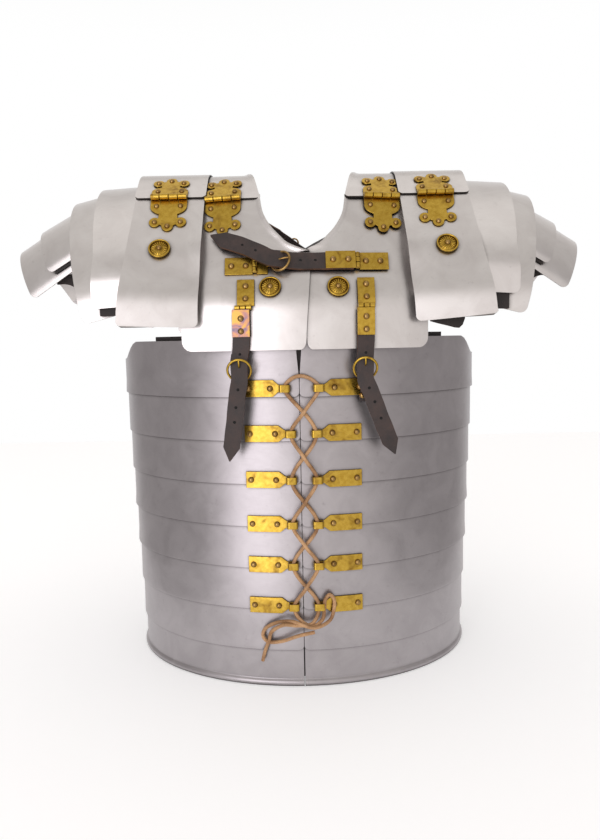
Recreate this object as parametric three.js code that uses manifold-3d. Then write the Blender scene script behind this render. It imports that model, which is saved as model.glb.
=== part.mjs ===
// A laced segmented plate cuirass: girth hoops, breastplates, shoulder guards, brass fittings and lace.
// Millimetres, +Z up, the front faces -Y. The origin lies under the middle, on the surface that it stands on.
import * as THREE from "three";
import * as BufferGeometryUtils from "three/addons/utils/BufferGeometryUtils.js";
import Module from "manifold-3d";

const wasm = await Module();
wasm.setup();

// Sheet steel, and the clearance between pieces that touch
const plateThickness = 1.2;
const clearance = 0.35;
const step = plateThickness + clearance;
const plateCorner = 9;
const topCorner = 4;

// Girth: eight hoops on each side, each one outside the hoop below it
const hoopCount = 8;
const girthHalfWidth = 186;
const girthHalfDepth = 148.8;
const girthOffset = -6;
const hoopPitch = 40;
const hoopOverlap = 10;
const lowestHoopHeight = 36;
const topHoopExtra = 2;
const hoopFacets = 16;
const seamGap = 1;
const armDip = 17.5;
const armDipFlat = 40;
const armDipReach = 80;
const rimHeight = 6;
const rimFlare = 2;

// Collar: the side profile of the plates that go over the shoulder, and their widths from the middle
const collarBeforeGirth = 7.2;
const collarDepth = girthHalfDepth + collarBeforeGirth;
const collarLap = 10;
const collarBottom = lowestHoopHeight + hoopPitch * (hoopCount - 1) + topHoopExtra + hoopOverlap - collarLap;
const collarBendRise = 40;
const collarBend = collarBottom + collarBendRise;
const hingeInset = 48;
const hingeDepth = collarDepth - hingeInset;
const hingeRise = 99;
const hingeHeight = collarBend + hingeRise;
const shoulderRun = 32;
const shoulderSlope = 40;
const ridgeRise = 32.6;
const ridgeHeight = hingeHeight + ridgeRise;
const bendReach = 13;
const archFacets = 8;
const plateLap = 5;
const chestBow = 12;
const breastWidth = 110;
const collarOuter = 99;
const neckHalfWidth = 39;
const neckRidgeHalfWidth = 58;
const neckDrop = 52.5;
const neckFrontHeight = hingeHeight - neckDrop;
const chestStrapDrop = 9.5;
const chestHeight = neckFrontHeight - chestStrapDrop;

// Shoulder guards over the collar
const guardProud = 7;
const guardBottomRise = 21.2;
const guardBottom = collarBottom + guardBottomRise;
const guardBendRise = 26.8;
const guardBend = guardBottom + guardBendRise;
const guardTopInner = 89;
const guardTopOuter = 154.5;
const guardBottomInner = 94;
const guardBottomOuter = 164;
const guardCorner = 5;

// How far the front guard's lower corners stand above its bottom, and how far it is pushed outward there
const guardEnds = {
  left: { inner: 0, outer: 1.8, splay: 0 },
  right: { inner: 1.8, outer: 6.8, splay: 3.5 },
};
const lesserGuards = [
  { outward: 51.5, drop: 2.6, inward: 18, behind: 20, above: 17.8, lift: 7, rise: 20, width: 68, tilt: 3.6 },
  { outward: 78.5, drop: 15.6, inward: 34, behind: 27, above: 4.8, lift: 2, rise: 14, width: 51.5, tilt: 14 },
  { outward: 109.5, drop: 43.6, inward: 24, behind: 75, above: 55.8, lift: 0, rise: 4, width: 68, tilt: 28.2 },
  { outward: 134.5, drop: 63.6, inward: 29, behind: 83, above: 31.8, lift: 0, rise: 4, width: 77, tilt: 31.5 },
].map((row) => ({
  ridgeX: guardTopOuter + row.outward,
  ridgeZ: ridgeHeight - row.drop,
  endX: guardTopOuter + row.outward - row.inward,
  endY: collarDepth + guardProud - row.behind,
  endZ: guardBottom + row.above,
  lift: row.lift,
  rise: row.rise,
  width: row.width,
  tilt: row.tilt,
}));

// Brass fittings
const brassThickness = 1;
const knuckleRadius = 2.6;
const leafWidth = 33.5;
const leafLength = 31.8;
const lobeRadius = 5.2;
const upperLeafShare = 0.93;
const collarHingeX = 72.6;
const guardHingeX = 122.5;
const rosetteRadius = 9.9;
const rosetteHeight = 2.2;
const guardRosette = { x: 128, belowHinge: 48 };
const breastRosette = { x: 30, belowStrap: 22 };
const fittingWidth = 15.4;
const fittingKnuckle = 2.3;
const ringRadius = 10.1;
const ringWire = 1.4;
const ringTilt = 24;

// Leather straps
const strapWidth = 14.8;
const strapThickness = 2.6;
const guardLeatherWidth = 20;
const guardLeatherThickness = 2.4;

// Lace, and the brass loops that it runs through
const laceDiameter = 3.4;
const laceSteps = 80;
const tieCount = 6;
const tiePlateHeight = 15;
const tiePlateInner = 22;
const tiePlateOuter = 49;
const tieNeck = 6.5;
const tieLoopInner = 6.5;
const tieLoopOuter = 16.5;
const tieLoopDepth = 7.6;
const tieAboveEdge = [8, 7, 4.5, 3, 4, 4.5];

const steel = new THREE.MeshStandardMaterial({ color: 0xbdb8b4, roughness: 0.32, metalness: 1 });
const brass = new THREE.MeshStandardMaterial({ color: 0xb8902a, roughness: 0.3, metalness: 1 });
const leather = new THREE.MeshStandardMaterial({ color: 0x4a4242, roughness: 0.6, metalness: 0 });
const laceLeather = new THREE.MeshStandardMaterial({ color: 0xb98a60, roughness: 0.75, metalness: 0 });

const cuirass = new THREE.Group();
const sides = { left: -1, right: 1 };

function add(name, geometry, material) {
  const mesh = new THREE.Mesh(geometry, material);
  mesh.name = name;
  cuirass.add(mesh);
}

function solid(geometry) {
  const bare = geometry.clone();
  bare.deleteAttribute("normal");
  bare.deleteAttribute("uv");
  const whole = BufferGeometryUtils.mergeVertices(bare, 1e-4);
  return new wasm.Manifold(new wasm.Mesh({
    numProp: 3,
    vertProperties: Float32Array.from(whole.attributes.position.array),
    triVerts: Uint32Array.from(whole.index.array),
  }));
}

function joined(geometries) {
  const [first, ...others] = geometries.map(solid);
  const whole = others.reduce((sum, other) => sum.add(other), first).getMesh();
  const geometry = new THREE.BufferGeometry();
  geometry.setAttribute("position", new THREE.BufferAttribute(Float32Array.from(whole.vertProperties), 3));
  geometry.setIndex(new THREE.BufferAttribute(Uint32Array.from(whole.triVerts), 1));
  return geometry;
}

// Builds a closed geometry, and turns every face over if its volume came out negative
function outward(points, faces) {
  let volume = 0;
  for (let k = 0; k < faces.length; k += 3) {
    const [a, b, c] = [points[faces[k]], points[faces[k + 1]], points[faces[k + 2]]];
    volume += a.dot(b.clone().cross(c));
  }
  const geometry = new THREE.BufferGeometry();
  geometry.setAttribute("position", new THREE.Float32BufferAttribute(points.flatMap((p) => p.toArray()), 3));
  geometry.setIndex(volume < 0 ? faces.toReversed() : faces);
  return geometry;
}

// A closed sheet: rows of points on its outer face, each moved inward by the thickness for its inner face
function sheet(rows, thickness) {
  const bodyMiddle = new THREE.Vector3(0, 0, guardBottom);
  const lines = rows.length;
  const columns = rows[0].length;
  const at = (i, j) => rows[Math.min(Math.max(i, 0), lines - 1)][Math.min(Math.max(j, 0), columns - 1)];
  const outer = [];
  const inner = [];
  for (let i = 0; i < lines; i++) {
    for (let j = 0; j < columns; j++) {
      const along = at(i + 1, j).clone().sub(at(i - 1, j));
      const across = at(i, j + 1).clone().sub(at(i, j - 1));
      const normal = along.cross(across).normalize();
      if (normal.dot(at(i, j).clone().sub(bodyMiddle)) < 0) normal.negate();
      outer.push(at(i, j).clone());
      inner.push(at(i, j).clone().addScaledVector(normal, -thickness));
    }
  }
  const back = lines * columns;
  const faces = [];
  const quad = (a, b, c, d) => faces.push(a, b, c, a, c, d);
  for (let i = 0; i < lines - 1; i++) {
    for (let j = 0; j < columns - 1; j++) {
      const a = i * columns + j;
      quad(a, a + columns, a + columns + 1, a + 1);
      quad(back + a, back + a + 1, back + a + columns + 1, back + a + columns);
    }
  }
  for (let j = 0; j < columns - 1; j++) {
    const last = (lines - 1) * columns + j;
    quad(j, j + 1, back + j + 1, back + j);
    quad(last, back + last, back + last + 1, last + 1);
  }
  for (let i = 0; i < lines - 1; i++) {
    const first = i * columns;
    const last = first + columns - 1;
    quad(first, back + first, back + first + columns, first + columns);
    quad(last, last + columns, back + last + columns, back + last);
  }
  return outward(outer.concat(inner), faces);
}

// Closed sections joined one after another; the caps fan out from each section's last but one point
function loft(rings) {
  const size = rings[0].length;
  const faces = [];
  for (let i = 0; i < rings.length - 1; i++) {
    for (let k = 0; k < size; k++) {
      const a = i * size + k;
      const b = i * size + ((k + 1) % size);
      faces.push(a, b, b + size, a, b + size, a + size);
    }
  }
  const last = (rings.length - 1) * size;
  const hub = size - 2;
  for (let k = 1; k < size - 1; k++) {
    const a = (hub + k) % size;
    const b = (hub + k + 1) % size;
    faces.push(hub, b, a);
    faces.push(last + hub, last + a, last + b);
  }
  return outward(rings.flat(), faces);
}

function smooth(from, to, value) {
  const share = Math.min(Math.max((value - from) / (to - from), 0), 1);
  return share * share * (3 - 2 * share);
}

function lookUp(rows, key, column, value) {
  const found = rows.findIndex((row) => row[key] >= value);
  const next = found < 0 ? rows.length - 1 : Math.max(found, 1);
  const [a, b] = [rows[next - 1], rows[next]];
  const share = Math.min(Math.max((value - a[key]) / (b[key] - a[key]), 0), 1);
  return a[column] + share * (b[column] - a[column]);
}

function range(count, from, to) {
  return Array.from({ length: count + 1 }, (_, k) => from + ((to - from) * k) / count);
}

function sorted(values) {
  return [...new Set(values.map((value) => Math.round(value * 1e4) / 1e4))].sort((a, b) => a - b);
}

// How far a rounded corner draws a plate's side in, at a distance from the plate's end
const cornerShares = [0, 0.08, 0.35, 1];

function cornerInset(distance, radius) {
  const left = Math.min(Math.max(radius - distance, 0), radius);
  return radius - Math.sqrt(radius ** 2 - left ** 2);
}

// Girth hoops

function hoopHalfWidth(number) {
  return girthHalfWidth - step * (number - 1);
}

function hoopHalfDepth(number) {
  return girthHalfDepth - step * (number - 1);
}

function hoopBottom(number) {
  return number === hoopCount ? 0 : lowestHoopHeight + hoopPitch * (hoopCount - 1 - number);
}

function hoopTop(number) {
  const exposed = number === 1 ? hoopBottom(1) + hoopPitch + topHoopExtra : hoopBottom(number - 1);
  return exposed + hoopOverlap;
}

// A point on a hoop's outer face: turn 0 is the front seam, PI the back seam
function hoopPoint(number, side, turn, height, proud) {
  const x = side * (hoopHalfWidth(number) + proud) * Math.sin(turn) + girthOffset;
  const y = -(hoopHalfDepth(number) + proud) * Math.cos(turn);
  return new THREE.Vector3(x, y, height);
}

function hoop(number, side) {
  const seamTurn = Math.asin(seamGap / 2 / hoopHalfWidth(number));
  const top = hoopTop(number);
  const bottom = hoopBottom(number);
  const rings = range(hoopFacets, seamTurn, Math.PI - seamTurn).map((turn) => {
    const fromArm = Math.abs(turn - Math.PI / 2) * hoopHalfDepth(number);
    const dip = number === 1 ? armDip * (1 - smooth(armDipFlat, armDipReach, fromArm)) : 0;
    const section = [[0, top - dip]];
    if (number === hoopCount) {
      section.push([0, bottom + rimHeight], [rimFlare, bottom + rimHeight * 0.7], [rimFlare, bottom]);
    } else {
      section.push([0, bottom]);
    }
    section.push([-plateThickness, bottom], [-plateThickness, top - dip]);
    return section.map(([proud, height]) => hoopPoint(number, side, turn, height, proud));
  });
  return loft(rings);
}

// Side profile of the plates over one shoulder, from the front bottom edge over the ridge to the back bottom edge
function shoulderProfile({ depth, bottom, bend, hingeY, hingeZ, ridge, bow }) {
  const lean = new THREE.Vector2(depth - hingeY, hingeZ - bend).normalize();
  const slope = THREE.MathUtils.degToRad(shoulderSlope);
  const runY = hingeY - shoulderRun * Math.cos(slope);
  const runZ = hingeZ + shoulderRun * Math.sin(slope);
  const crestZ = Math.min(ridge, runZ + runY * 0.2 * Math.tan(slope));
  const curveY = depth - lean.x * bendReach;
  const curveZ = bend + lean.y * bendReach;
  const path = new THREE.Path().moveTo(-depth, bottom);
  path.lineTo(-depth, bend - bendReach);
  path.quadraticCurveTo(-depth, bend, -curveY, curveZ);
  path.lineTo(-hingeY, hingeZ);
  path.lineTo(-runY, runZ);
  path.bezierCurveTo(-runY * 0.8, crestZ, -runY * 0.45, ridge, 0, ridge);
  path.bezierCurveTo(runY * 0.45, ridge, runY * 0.8, crestZ, runY, runZ);
  path.lineTo(hingeY, hingeZ);
  path.lineTo(curveY, curveZ);
  path.quadraticCurveTo(depth, bend, depth, bend - bendReach);
  path.lineTo(depth, bottom);
  const [toBend, afterBend, toHinge, toRun, toRidge] = path.getCurveLengths();
  return { path, bow, length: path.getLength(), toBend, afterBend, toHinge, toRun, toRidge };
}

// A point on a profile, a distance along it from the front bottom edge, at x across, stood proud of it
function onProfile(profile, x, along, proud) {
  const share = Math.min(Math.max(along / profile.length, 0), 1);
  const point = profile.path.getPointAt(share);
  const tangent = profile.path.getTangentAt(share);
  const y = point.x * (1 - profile.bow * x * x) - tangent.y * proud;
  return new THREE.Vector3(x, y, point.y + tangent.x * proud);
}

function heightAt(profile, along) {
  return profile.path.getPointAt(Math.min(along / profile.length, 1)).y;
}

// The distance along a profile's front at which it reaches a height
function alongAt(profile, height) {
  let [low, high] = [0, profile.toRidge];
  for (let k = 0; k < 24; k++) {
    const middle = (low + high) / 2;
    if (heightAt(profile, middle) < height) low = middle;
    else high = middle;
  }
  return low;
}

const collar = shoulderProfile({
  depth: collarDepth,
  bottom: collarBottom,
  bend: collarBend,
  hingeY: hingeDepth,
  hingeZ: hingeHeight,
  ridge: ridgeHeight,
  bow: chestBow / collarDepth / breastWidth ** 2,
});
const guard = shoulderProfile({
  depth: collarDepth + guardProud,
  bottom: guardBottom,
  bend: guardBend,
  hingeY: hingeDepth - step,
  hingeZ: hingeHeight + step,
  ridge: ridgeHeight + step,
  bow: 0,
});

// A plate on a profile, whose inner and outer sides are given for each distance along
function profilePlate(profile, stations, sidesAt, columns, proud) {
  const rows = stations.map((along) => {
    const [inner, outer] = sidesAt(along);
    return range(columns, inner, outer).map((x) => onProfile(profile, x, along, proud));
  });
  return sheet(rows, plateThickness);
}

function frontStations(profile, corner) {
  const rows = cornerShares.map((share) => share * corner);
  const bend = [profile.toBend, (profile.toBend + profile.afterBend) / 2, profile.afterBend];
  return rows.concat(bend, profile.toHinge, profile.toHinge + plateLap);
}

function overStations(profile, frontCorner, backCorner) {
  const start = profile.toHinge - clearance;
  const front = cornerShares.map((share) => start + share * frontCorner);
  const arch = range(archFacets, profile.toRun, profile.length - profile.toRun);
  const bend = [profile.afterBend, (profile.toBend + profile.afterBend) / 2, profile.toBend];
  const back = [...bend, ...cornerShares.map((share) => share * backCorner)].map((d) => profile.length - d);
  return sorted([...front, ...arch, profile.length - profile.toHinge, ...back]);
}

// A low round disc on a plate's outer face
function disc(profile, x, along, proud) {
  const geometry = new THREE.CylinderGeometry(rosetteRadius, rosetteRadius, rosetteHeight + plateThickness / 2, 16);
  const centre = proud + (rosetteHeight - plateThickness / 2) / 2;
  geometry.applyMatrix4(frameOn(profile, x, along, centre, new THREE.Matrix4().makeRotationX(Math.PI / 2)));
  return geometry;
}

// The placing of something that lies on a profile: its X across, its Y up along the profile, its Z outward
function frameOn(profile, x, along, proud, before = new THREE.Matrix4()) {
  const near = 0.5;
  const origin = onProfile(profile, x, along, proud);
  const across = onProfile(profile, x + near, along, proud).sub(onProfile(profile, x - near, along, proud));
  const up = onProfile(profile, x, along + near, proud).sub(onProfile(profile, x, along - near, proud));
  const out = across.clone().cross(up).normalize();
  const level = up.clone().normalize();
  const matrix = new THREE.Matrix4().makeBasis(level.clone().cross(out).normalize(), level, out);
  return matrix.setPosition(origin).multiply(before);
}

// Breastplates and collar

// The neckline's half width on the front, by height, as shares of its full width and drop
const neckline = [
  { height: 0, width: -0.16 },
  { height: 0.15, width: 0.33 },
  { height: 0.3, width: 0.55 },
  { height: 0.48, width: 0.76 },
  { height: 0.72, width: 0.93 },
  { height: 1, width: 1 },
];

// The neckline over the shoulder, by the share of the way from front hinge to back hinge
const overNeck = [
  { way: 0, width: 0.67 },
  { way: 0.13, width: 0.77 },
  { way: 0.3, width: 0.92 },
  { way: 0.5, width: 1 },
  { way: 0.75, width: 0.92 },
  { way: 0.88, width: 0.74 },
  { way: 1, width: 0.42 },
  { way: 1.1, width: 0 },
];

function outerSide(height) {
  return breastWidth - (breastWidth - collarOuter) * smooth(collarBend, hingeHeight, height);
}

// The left breastplate laps over the right one in the middle, so the right one lies one plate further in
function breastplate(side) {
  const drop = hingeHeight - neckFrontHeight;
  const seam = side < 0 ? { bottom: -1, neck: -6 } : { bottom: 1.5, neck: 1.5 };
  const neckRows = neckline.map((row) => alongAt(collar, neckFrontHeight + row.height * drop));
  const sidesAt = (along) => {
    const height = heightAt(collar, along);
    const inset = cornerInset(along, plateCorner);
    const share = (height - neckFrontHeight) / drop;
    const lean = THREE.MathUtils.lerp(seam.bottom, seam.neck, smooth(collarBottom, neckFrontHeight, height));
    const inner = Math.max(lean + inset * 0.6, neckHalfWidth * lookUp(neckline, "height", "width", share));
    return [side * inner, side * (outerSide(height) - inset)];
  };
  const stations = sorted(frontStations(collar, plateCorner).concat(neckRows));
  const proud = side < 0 ? 0 : -step;
  const plate = profilePlate(collar, stations, sidesAt, 4, proud);
  return joined([plate, disc(collar, side * breastRosette.x, alongAt(collar, chestHeight - breastRosette.belowStrap), proud)]);
}

function collarTop(side) {
  const way = collar.length - 2 * collar.toHinge;
  const sidesAt = (along) => {
    const share = (along - collar.toHinge) / way;
    const fromFront = cornerInset(along - collar.toHinge + clearance, topCorner);
    const fromBack = cornerInset(collar.length - along, plateCorner);
    const neck = neckRidgeHalfWidth * lookUp(overNeck, "way", "width", share);
    const outer = share < 0.5 ? collarOuter : outerSide(heightAt(collar, along));
    return [side * (Math.max(neck, seamGap / 2) + fromFront + fromBack), side * (outer - fromFront - fromBack)];
  };
  const neckRows = overNeck.map((row) => collar.toHinge + row.way * way);
  const stations = sorted(overStations(collar, topCorner, plateCorner).concat(neckRows.slice(5)));
  return profilePlate(collar, stations, sidesAt, 2, step);
}

// Shoulder guards

function guardFront(side) {
  const ends = side < 0 ? guardEnds.left : guardEnds.right;
  const rows = frontStations(guard, guardCorner).map((along) => {
    const inset = cornerInset(along, guardCorner);
    const share = Math.min(along / guard.toHinge, 1);
    const inner = THREE.MathUtils.lerp(guardBottomInner + ends.splay, guardTopInner + 1, share) + inset;
    const outer = THREE.MathUtils.lerp(guardBottomOuter + ends.splay, guardTopOuter - 1, share) - inset;
    const fade = 1 - smooth(0, guard.toBend, along);
    return [[inner, ends.inner], [outer, ends.outer]].map(([x, up]) => onProfile(guard, side * x, along + up * fade, 0));
  });
  const plate = sheet(rows, plateThickness);
  return joined([plate, disc(guard, side * guardRosette.x, alongAt(guard, hingeHeight - guardRosette.belowHinge), 0)]);
}

function guardTop(side) {
  const sidesAt = (along) => {
    const fromFront = cornerInset(along - guard.toHinge + clearance, topCorner);
    const fromBack = cornerInset(guard.length - along, guardCorner);
    const share = Math.min(Math.max((guard.length - along) / guard.toHinge, 0), 1);
    const inner = THREE.MathUtils.lerp(guardBottomInner, guardTopInner, share);
    const outer = THREE.MathUtils.lerp(guardBottomOuter, guardTopOuter, share);
    return [side * (inner + fromFront + fromBack), side * (outer - fromFront - fromBack)];
  };
  return profilePlate(guard, overStations(guard, topCorner, guardCorner), sidesAt, 1, step);
}

const facetShare = 1 / 12;

// The outer edge of a lesser guard as a path of depth and height, from its front end over to its back end
function archOf({ ridgeZ, endY, endZ, rise }) {
  const start = endZ + rise;
  const shoulder = start + (ridgeZ - start) * 0.2;
  const path = new THREE.Path().moveTo(-endY, endZ);
  path.lineTo(-endY, start);
  path.bezierCurveTo(-endY, shoulder, -endY * 0.55, ridgeZ, 0, ridgeZ);
  path.bezierCurveTo(endY * 0.55, ridgeZ, endY, shoulder, endY, start);
  path.lineTo(endY, endZ);
  return path;
}

function lesserGuard(drawn, side) {
  const row = side < 0 ? drawn : { ...drawn, endZ: drawn.endZ + drawn.lift };
  const path = archOf(row);
  const length = path.getLength();
  const corner = plateCorner * 0.7;
  const tilt = THREE.MathUtils.degToRad(row.tilt);
  const ends = cornerShares.map((share) => share * corner);
  const arch = range(1 / facetShare, 0, length).slice(1, -1);
  const stations = sorted([...ends, ...arch, ...ends.map((end) => length - end)]);
  const rows = stations.map((along) => {
    const point = path.getPointAt(Math.min(along / length, 1));
    const fall = (row.ridgeZ - point.y) / (row.ridgeZ - row.endZ);
    const outer = row.ridgeX + (row.endX - row.ridgeX) * fall;
    const inset = cornerInset(Math.min(along, length - along), corner);
    return [inset, row.width - inset].map((across) => {
      const x = side * (outer - across * Math.cos(tilt));
      return new THREE.Vector3(x, point.x, point.y + across * Math.sin(tilt));
    });
  });
  return sheet(rows, plateThickness);
}

// The strap under the guards: it passes below each guard's inner edge, then follows the guard's underside
function guardLeather(side) {
  const half = guardLeatherWidth / 2;
  const facet = onProfile(guard, 0, guard.length / 2 + (guard.length - 2 * guard.toRun) / archFacets, 0);
  const ridgeSag = ((ridgeHeight + step - facet.z) * half) / facet.y;
  const ramp = 6;
  const line = [[collarOuter + 4, ridgeHeight + step - ridgeSag]];
  lesserGuards.forEach((row, k) => {
    const slope = Math.tan(THREE.MathUtils.degToRad(row.tilt));
    const edge = row.ridgeX - row.width * Math.cos(THREE.MathUtils.degToRad(row.tilt));
    const path = archOf(row);
    const nextFacet = path.getPointAt(0.5 + facetShare);
    const sag = ((row.ridgeZ - nextFacet.y) * half) / nextFacet.x;
    const below = plateThickness / Math.cos(Math.atan(slope)) + clearance * 1.2 + sag;
    const underside = (x) => row.ridgeZ + (row.ridgeX - x) * slope - below;
    const next = lesserGuards[k + 1];
    const nextEdge = next ? next.ridgeX - next.width * Math.cos(THREE.MathUtils.degToRad(next.tilt)) : 0;
    const end = next ? nextEdge - ramp - 1 : row.ridgeX - 2 * plateThickness - ramp;
    if (k === 0) line.push([edge - ramp - 1, line[0][1]]);
    line.push([edge - 1, underside(edge + 1) - clearance]);
    line.push([edge + ramp, underside(edge + ramp)]);
    line.push([end, underside(end)]);
  });
  return sheet(line.map(([x, z]) => [-half, half].map((y) => new THREE.Vector3(side * x, y, z))), guardLeatherThickness);
}

// Brass

// One leaf of a lobed hinge: square at the knuckle, waisted, with a lobe on each side and one at the tip
function leafShape(share) {
  const half = leafWidth / 2;
  const turn = THREE.MathUtils.degToRad;
  const lobeX = half * 0.7;
  const lobeY = leafLength * 0.85 * share;
  const shape = new THREE.Shape();
  shape.moveTo(-half, 0);
  shape.lineTo(half, 0);
  shape.lineTo(half, leafLength * 0.28 * share);
  shape.quadraticCurveTo(half, leafLength * 0.46 * share, half * 0.5, leafLength * 0.56 * share);
  shape.absarc(lobeX, lobeY, lobeRadius, turn(-125), turn(150), false);
  shape.absarc(0, leafLength * share, lobeRadius, turn(-10), turn(190), false);
  shape.absarc(-lobeX, lobeY, lobeRadius, turn(30), turn(305), false);
  shape.lineTo(-half * 0.5, leafLength * 0.56 * share);
  shape.quadraticCurveTo(-half, leafLength * 0.46 * share, -half, leafLength * 0.28 * share);
  return shape;
}

function lobedHinge(profile, x) {
  const knuckleAlong = profile.toHinge - knuckleRadius - 2 * clearance - 1;
  const options = { depth: brassThickness, bevelEnabled: false, curveSegments: 3 };
  const knuckle = new THREE.CylinderGeometry(knuckleRadius, knuckleRadius, leafWidth, 8);
  const lying = new THREE.Matrix4().makeRotationZ(Math.PI / 2);
  knuckle.applyMatrix4(frameOn(profile, x, knuckleAlong, knuckleRadius + clearance, lying));
  const lower = new THREE.ExtrudeGeometry(leafShape(1), options);
  const downward = new THREE.Matrix4().makeRotationZ(Math.PI);
  lower.applyMatrix4(frameOn(profile, x, knuckleAlong, clearance, downward));
  const upper = new THREE.ExtrudeGeometry(leafShape(upperLeafShare), options);
  upper.applyMatrix4(frameOn(profile, x, profile.toHinge + 1, step + clearance));
  const bridgeRows = [knuckleAlong, profile.toHinge, profile.toHinge + 3].map((along) =>
    [-1, 1].map((end) => onProfile(profile, x + (end * leafWidth) / 2, along, step + clearance + brassThickness)));
  return joined([knuckle, lower, upper, sheet(bridgeRows, brassThickness)]);
}

// A brass plate on a profile between two x and two heights
function fittingPlate([x1, x2], [z1, z2], proud) {
  const rows = range(3, z1, z2).map((height) =>
    range(2, x1, x2).map((x) => onProfile(collar, x, alongAt(collar, height), proud + brassThickness)));
  return sheet(rows, brassThickness);
}

function fittingBarrel(x, height, length, upright) {
  const barrel = new THREE.CylinderGeometry(fittingKnuckle, fittingKnuckle, length, 8);
  const turned = new THREE.Matrix4().makeRotationZ(upright ? 0 : Math.PI / 2);
  return barrel.applyMatrix4(frameOn(collar, x, alongAt(collar, height), fittingKnuckle + clearance, turned));
}

const overLeather = strapThickness + 3 * clearance;

function ring(matrix) {
  return new THREE.TorusGeometry(ringRadius, ringWire, 6, 14).applyMatrix4(matrix);
}

// A strap: rows of a centre line as [across, up, out], turned to points by a function, with a pointed tip
function strap(line, place, tipLength) {
  const tip = line.length - 1;
  const rows = line.map(([a, b, c], k) => {
    const [a1, b1] = line[Math.max(k - 1, 0)];
    const [a2, b2] = line[Math.min(k + 1, tip)];
    const along = new THREE.Vector2(a2 - a1, b2 - b1).normalize();
    const half = k === tip ? strapWidth * tipLength : strapWidth / 2;
    return [-1, 1].map((end) => place(a - along.y * half * end, b + along.x * half * end, c));
  });
  return sheet(rows, strapThickness);
}

const chest = { height: chestHeight, ringX: -20.6, hingeX: 48, plateEnd: 76, leatherEnd: 19.4 };
const restsAt = strapThickness + clearance;
const chestLine = [
  [chest.hingeX - 3.5, chest.height, restsAt],
  [chest.leatherEnd, chest.height, restsAt],
  [chest.ringX + 17, chest.height, restsAt + 0.3],
  [chest.ringX + 8, chest.height, restsAt + 2],
  [chest.ringX, chest.height, restsAt + 4.4],
  [chest.ringX - 9, chest.height + 0.6, restsAt + 6],
  [chest.ringX - 18, chest.height + 5, restsAt + 6],
  [chest.ringX - 34, chest.height + 13, restsAt + 4.8],
  [chest.ringX - 51, chest.height + 19.5, restsAt + 3.6],
  [chest.ringX - 63, chest.height + 24.5, restsAt + 3],
];

function chestStrap() {
  const place = (x, height, proud) => onProfile(collar, x, alongAt(collar, height), proud);
  return strap(chestLine, place, 0.12);
}

function chestHinge() {
  const z = [chest.height - fittingWidth / 2, chest.height + fittingWidth / 2];
  return joined([
    fittingPlate([chest.leatherEnd, chest.hingeX], z, overLeather),
    fittingPlate([chest.hingeX, chest.plateEnd], z, clearance),
    fittingBarrel(chest.hingeX, chest.height, fittingWidth, true),
  ]);
}

function chestBuckle() {
  const z = [chest.height - 2.5 - fittingWidth / 2, chest.height - 2.5 + fittingWidth / 2];
  const narrow = [chest.height - 4, chest.height + 4];
  const barrelX = chest.ringX - 23;
  const turned = new THREE.Matrix4().makeRotationY(THREE.MathUtils.degToRad(-ringTilt));
  const place = frameOn(collar, chest.ringX, alongAt(collar, chest.height), 6, turned);
  return joined([
    fittingPlate([barrelX - 27, barrelX], z, clearance),
    fittingPlate([barrelX, chest.ringX - ringRadius - ringWire], z, clearance),
    fittingPlate([chest.ringX - ringRadius - ringWire - 1, chest.ringX - ringRadius + 0.6], narrow, clearance + 0.6),
    fittingBarrel(barrelX, chest.height - 2.5, fittingWidth, true),
    ring(place),
  ]);
}

// The two straps that hang from the breastplates to buckles on the top hoop; a tail's rows are measured from its ring
const hanging = {
  left: {
    plateX: -51.5, leatherX: -53.5, ringX: -58.6, tabX: -61.5,
    tail: [[-60.6, -21, 4], [-62.8, -39, 4.6], [-65.2, -56, 3.6], [-67.2, -68, 2], [-69.4, -81, -0.5]],
  },
  right: {
    plateX: 54.5, leatherX: 53.5, ringX: 52.4, tabX: 50.4,
    tail: [[57, -21, 2.4], [63.6, -39, 1.4], [70.4, -56, -1.4], [74.8, -67, -3.6], [79.2, -78, -6.4]],
  },
};
const hangBarrelDrop = 40;
const hangBarrel = chestHeight - hangBarrelDrop;
const ringDrop = 54;
const ringBeforeGirth = 7.6;
const hangRing = { height: hangBarrel - ringDrop, depth: girthHalfDepth + ringBeforeGirth };

function hangingStrap({ leatherX, ringX, tail }) {
  const front = -onProfile(collar, leatherX, collar.toBend / 2, restsAt).y;
  const line = [
    [leatherX, hangBarrel - 3.5, front],
    [leatherX, hangBarrel - 25, front],
    [(leatherX + ringX) / 2, collarBottom - 2, front],
    [ringX, hangRing.height + ringRadius, front + 1],
    [ringX, hangRing.height, hangRing.depth + strapThickness / 2],
    [ringX, hangRing.height - ringRadius, hangRing.depth + 2.3],
    ...tail.map(([x, up, out]) => [x, hangRing.height + up, hangRing.depth + out]),
  ];
  const place = (x, height, depth) => {
    const curved = collarDepth * collar.bow * (x * x - leatherX * leatherX);
    return new THREE.Vector3(x, curved * smooth(collarBottom - strapWidth, collarBottom, height) - depth, height);
  };
  return strap(line, place, 0.12);
}

function hangingHinge({ plateX, leatherX }) {
  const upper = [plateX - fittingWidth / 2, plateX + fittingWidth / 2];
  const lower = [leatherX - fittingWidth / 2, leatherX + fittingWidth / 2];
  return joined([
    fittingPlate(upper, [hangBarrel, hangBarrel + 25], clearance),
    fittingPlate(lower, [hangBarrel - 25, hangBarrel], overLeather),
    fittingBarrel((plateX + leatherX) / 2, hangBarrel, fittingWidth, false),
  ]);
}

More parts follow.
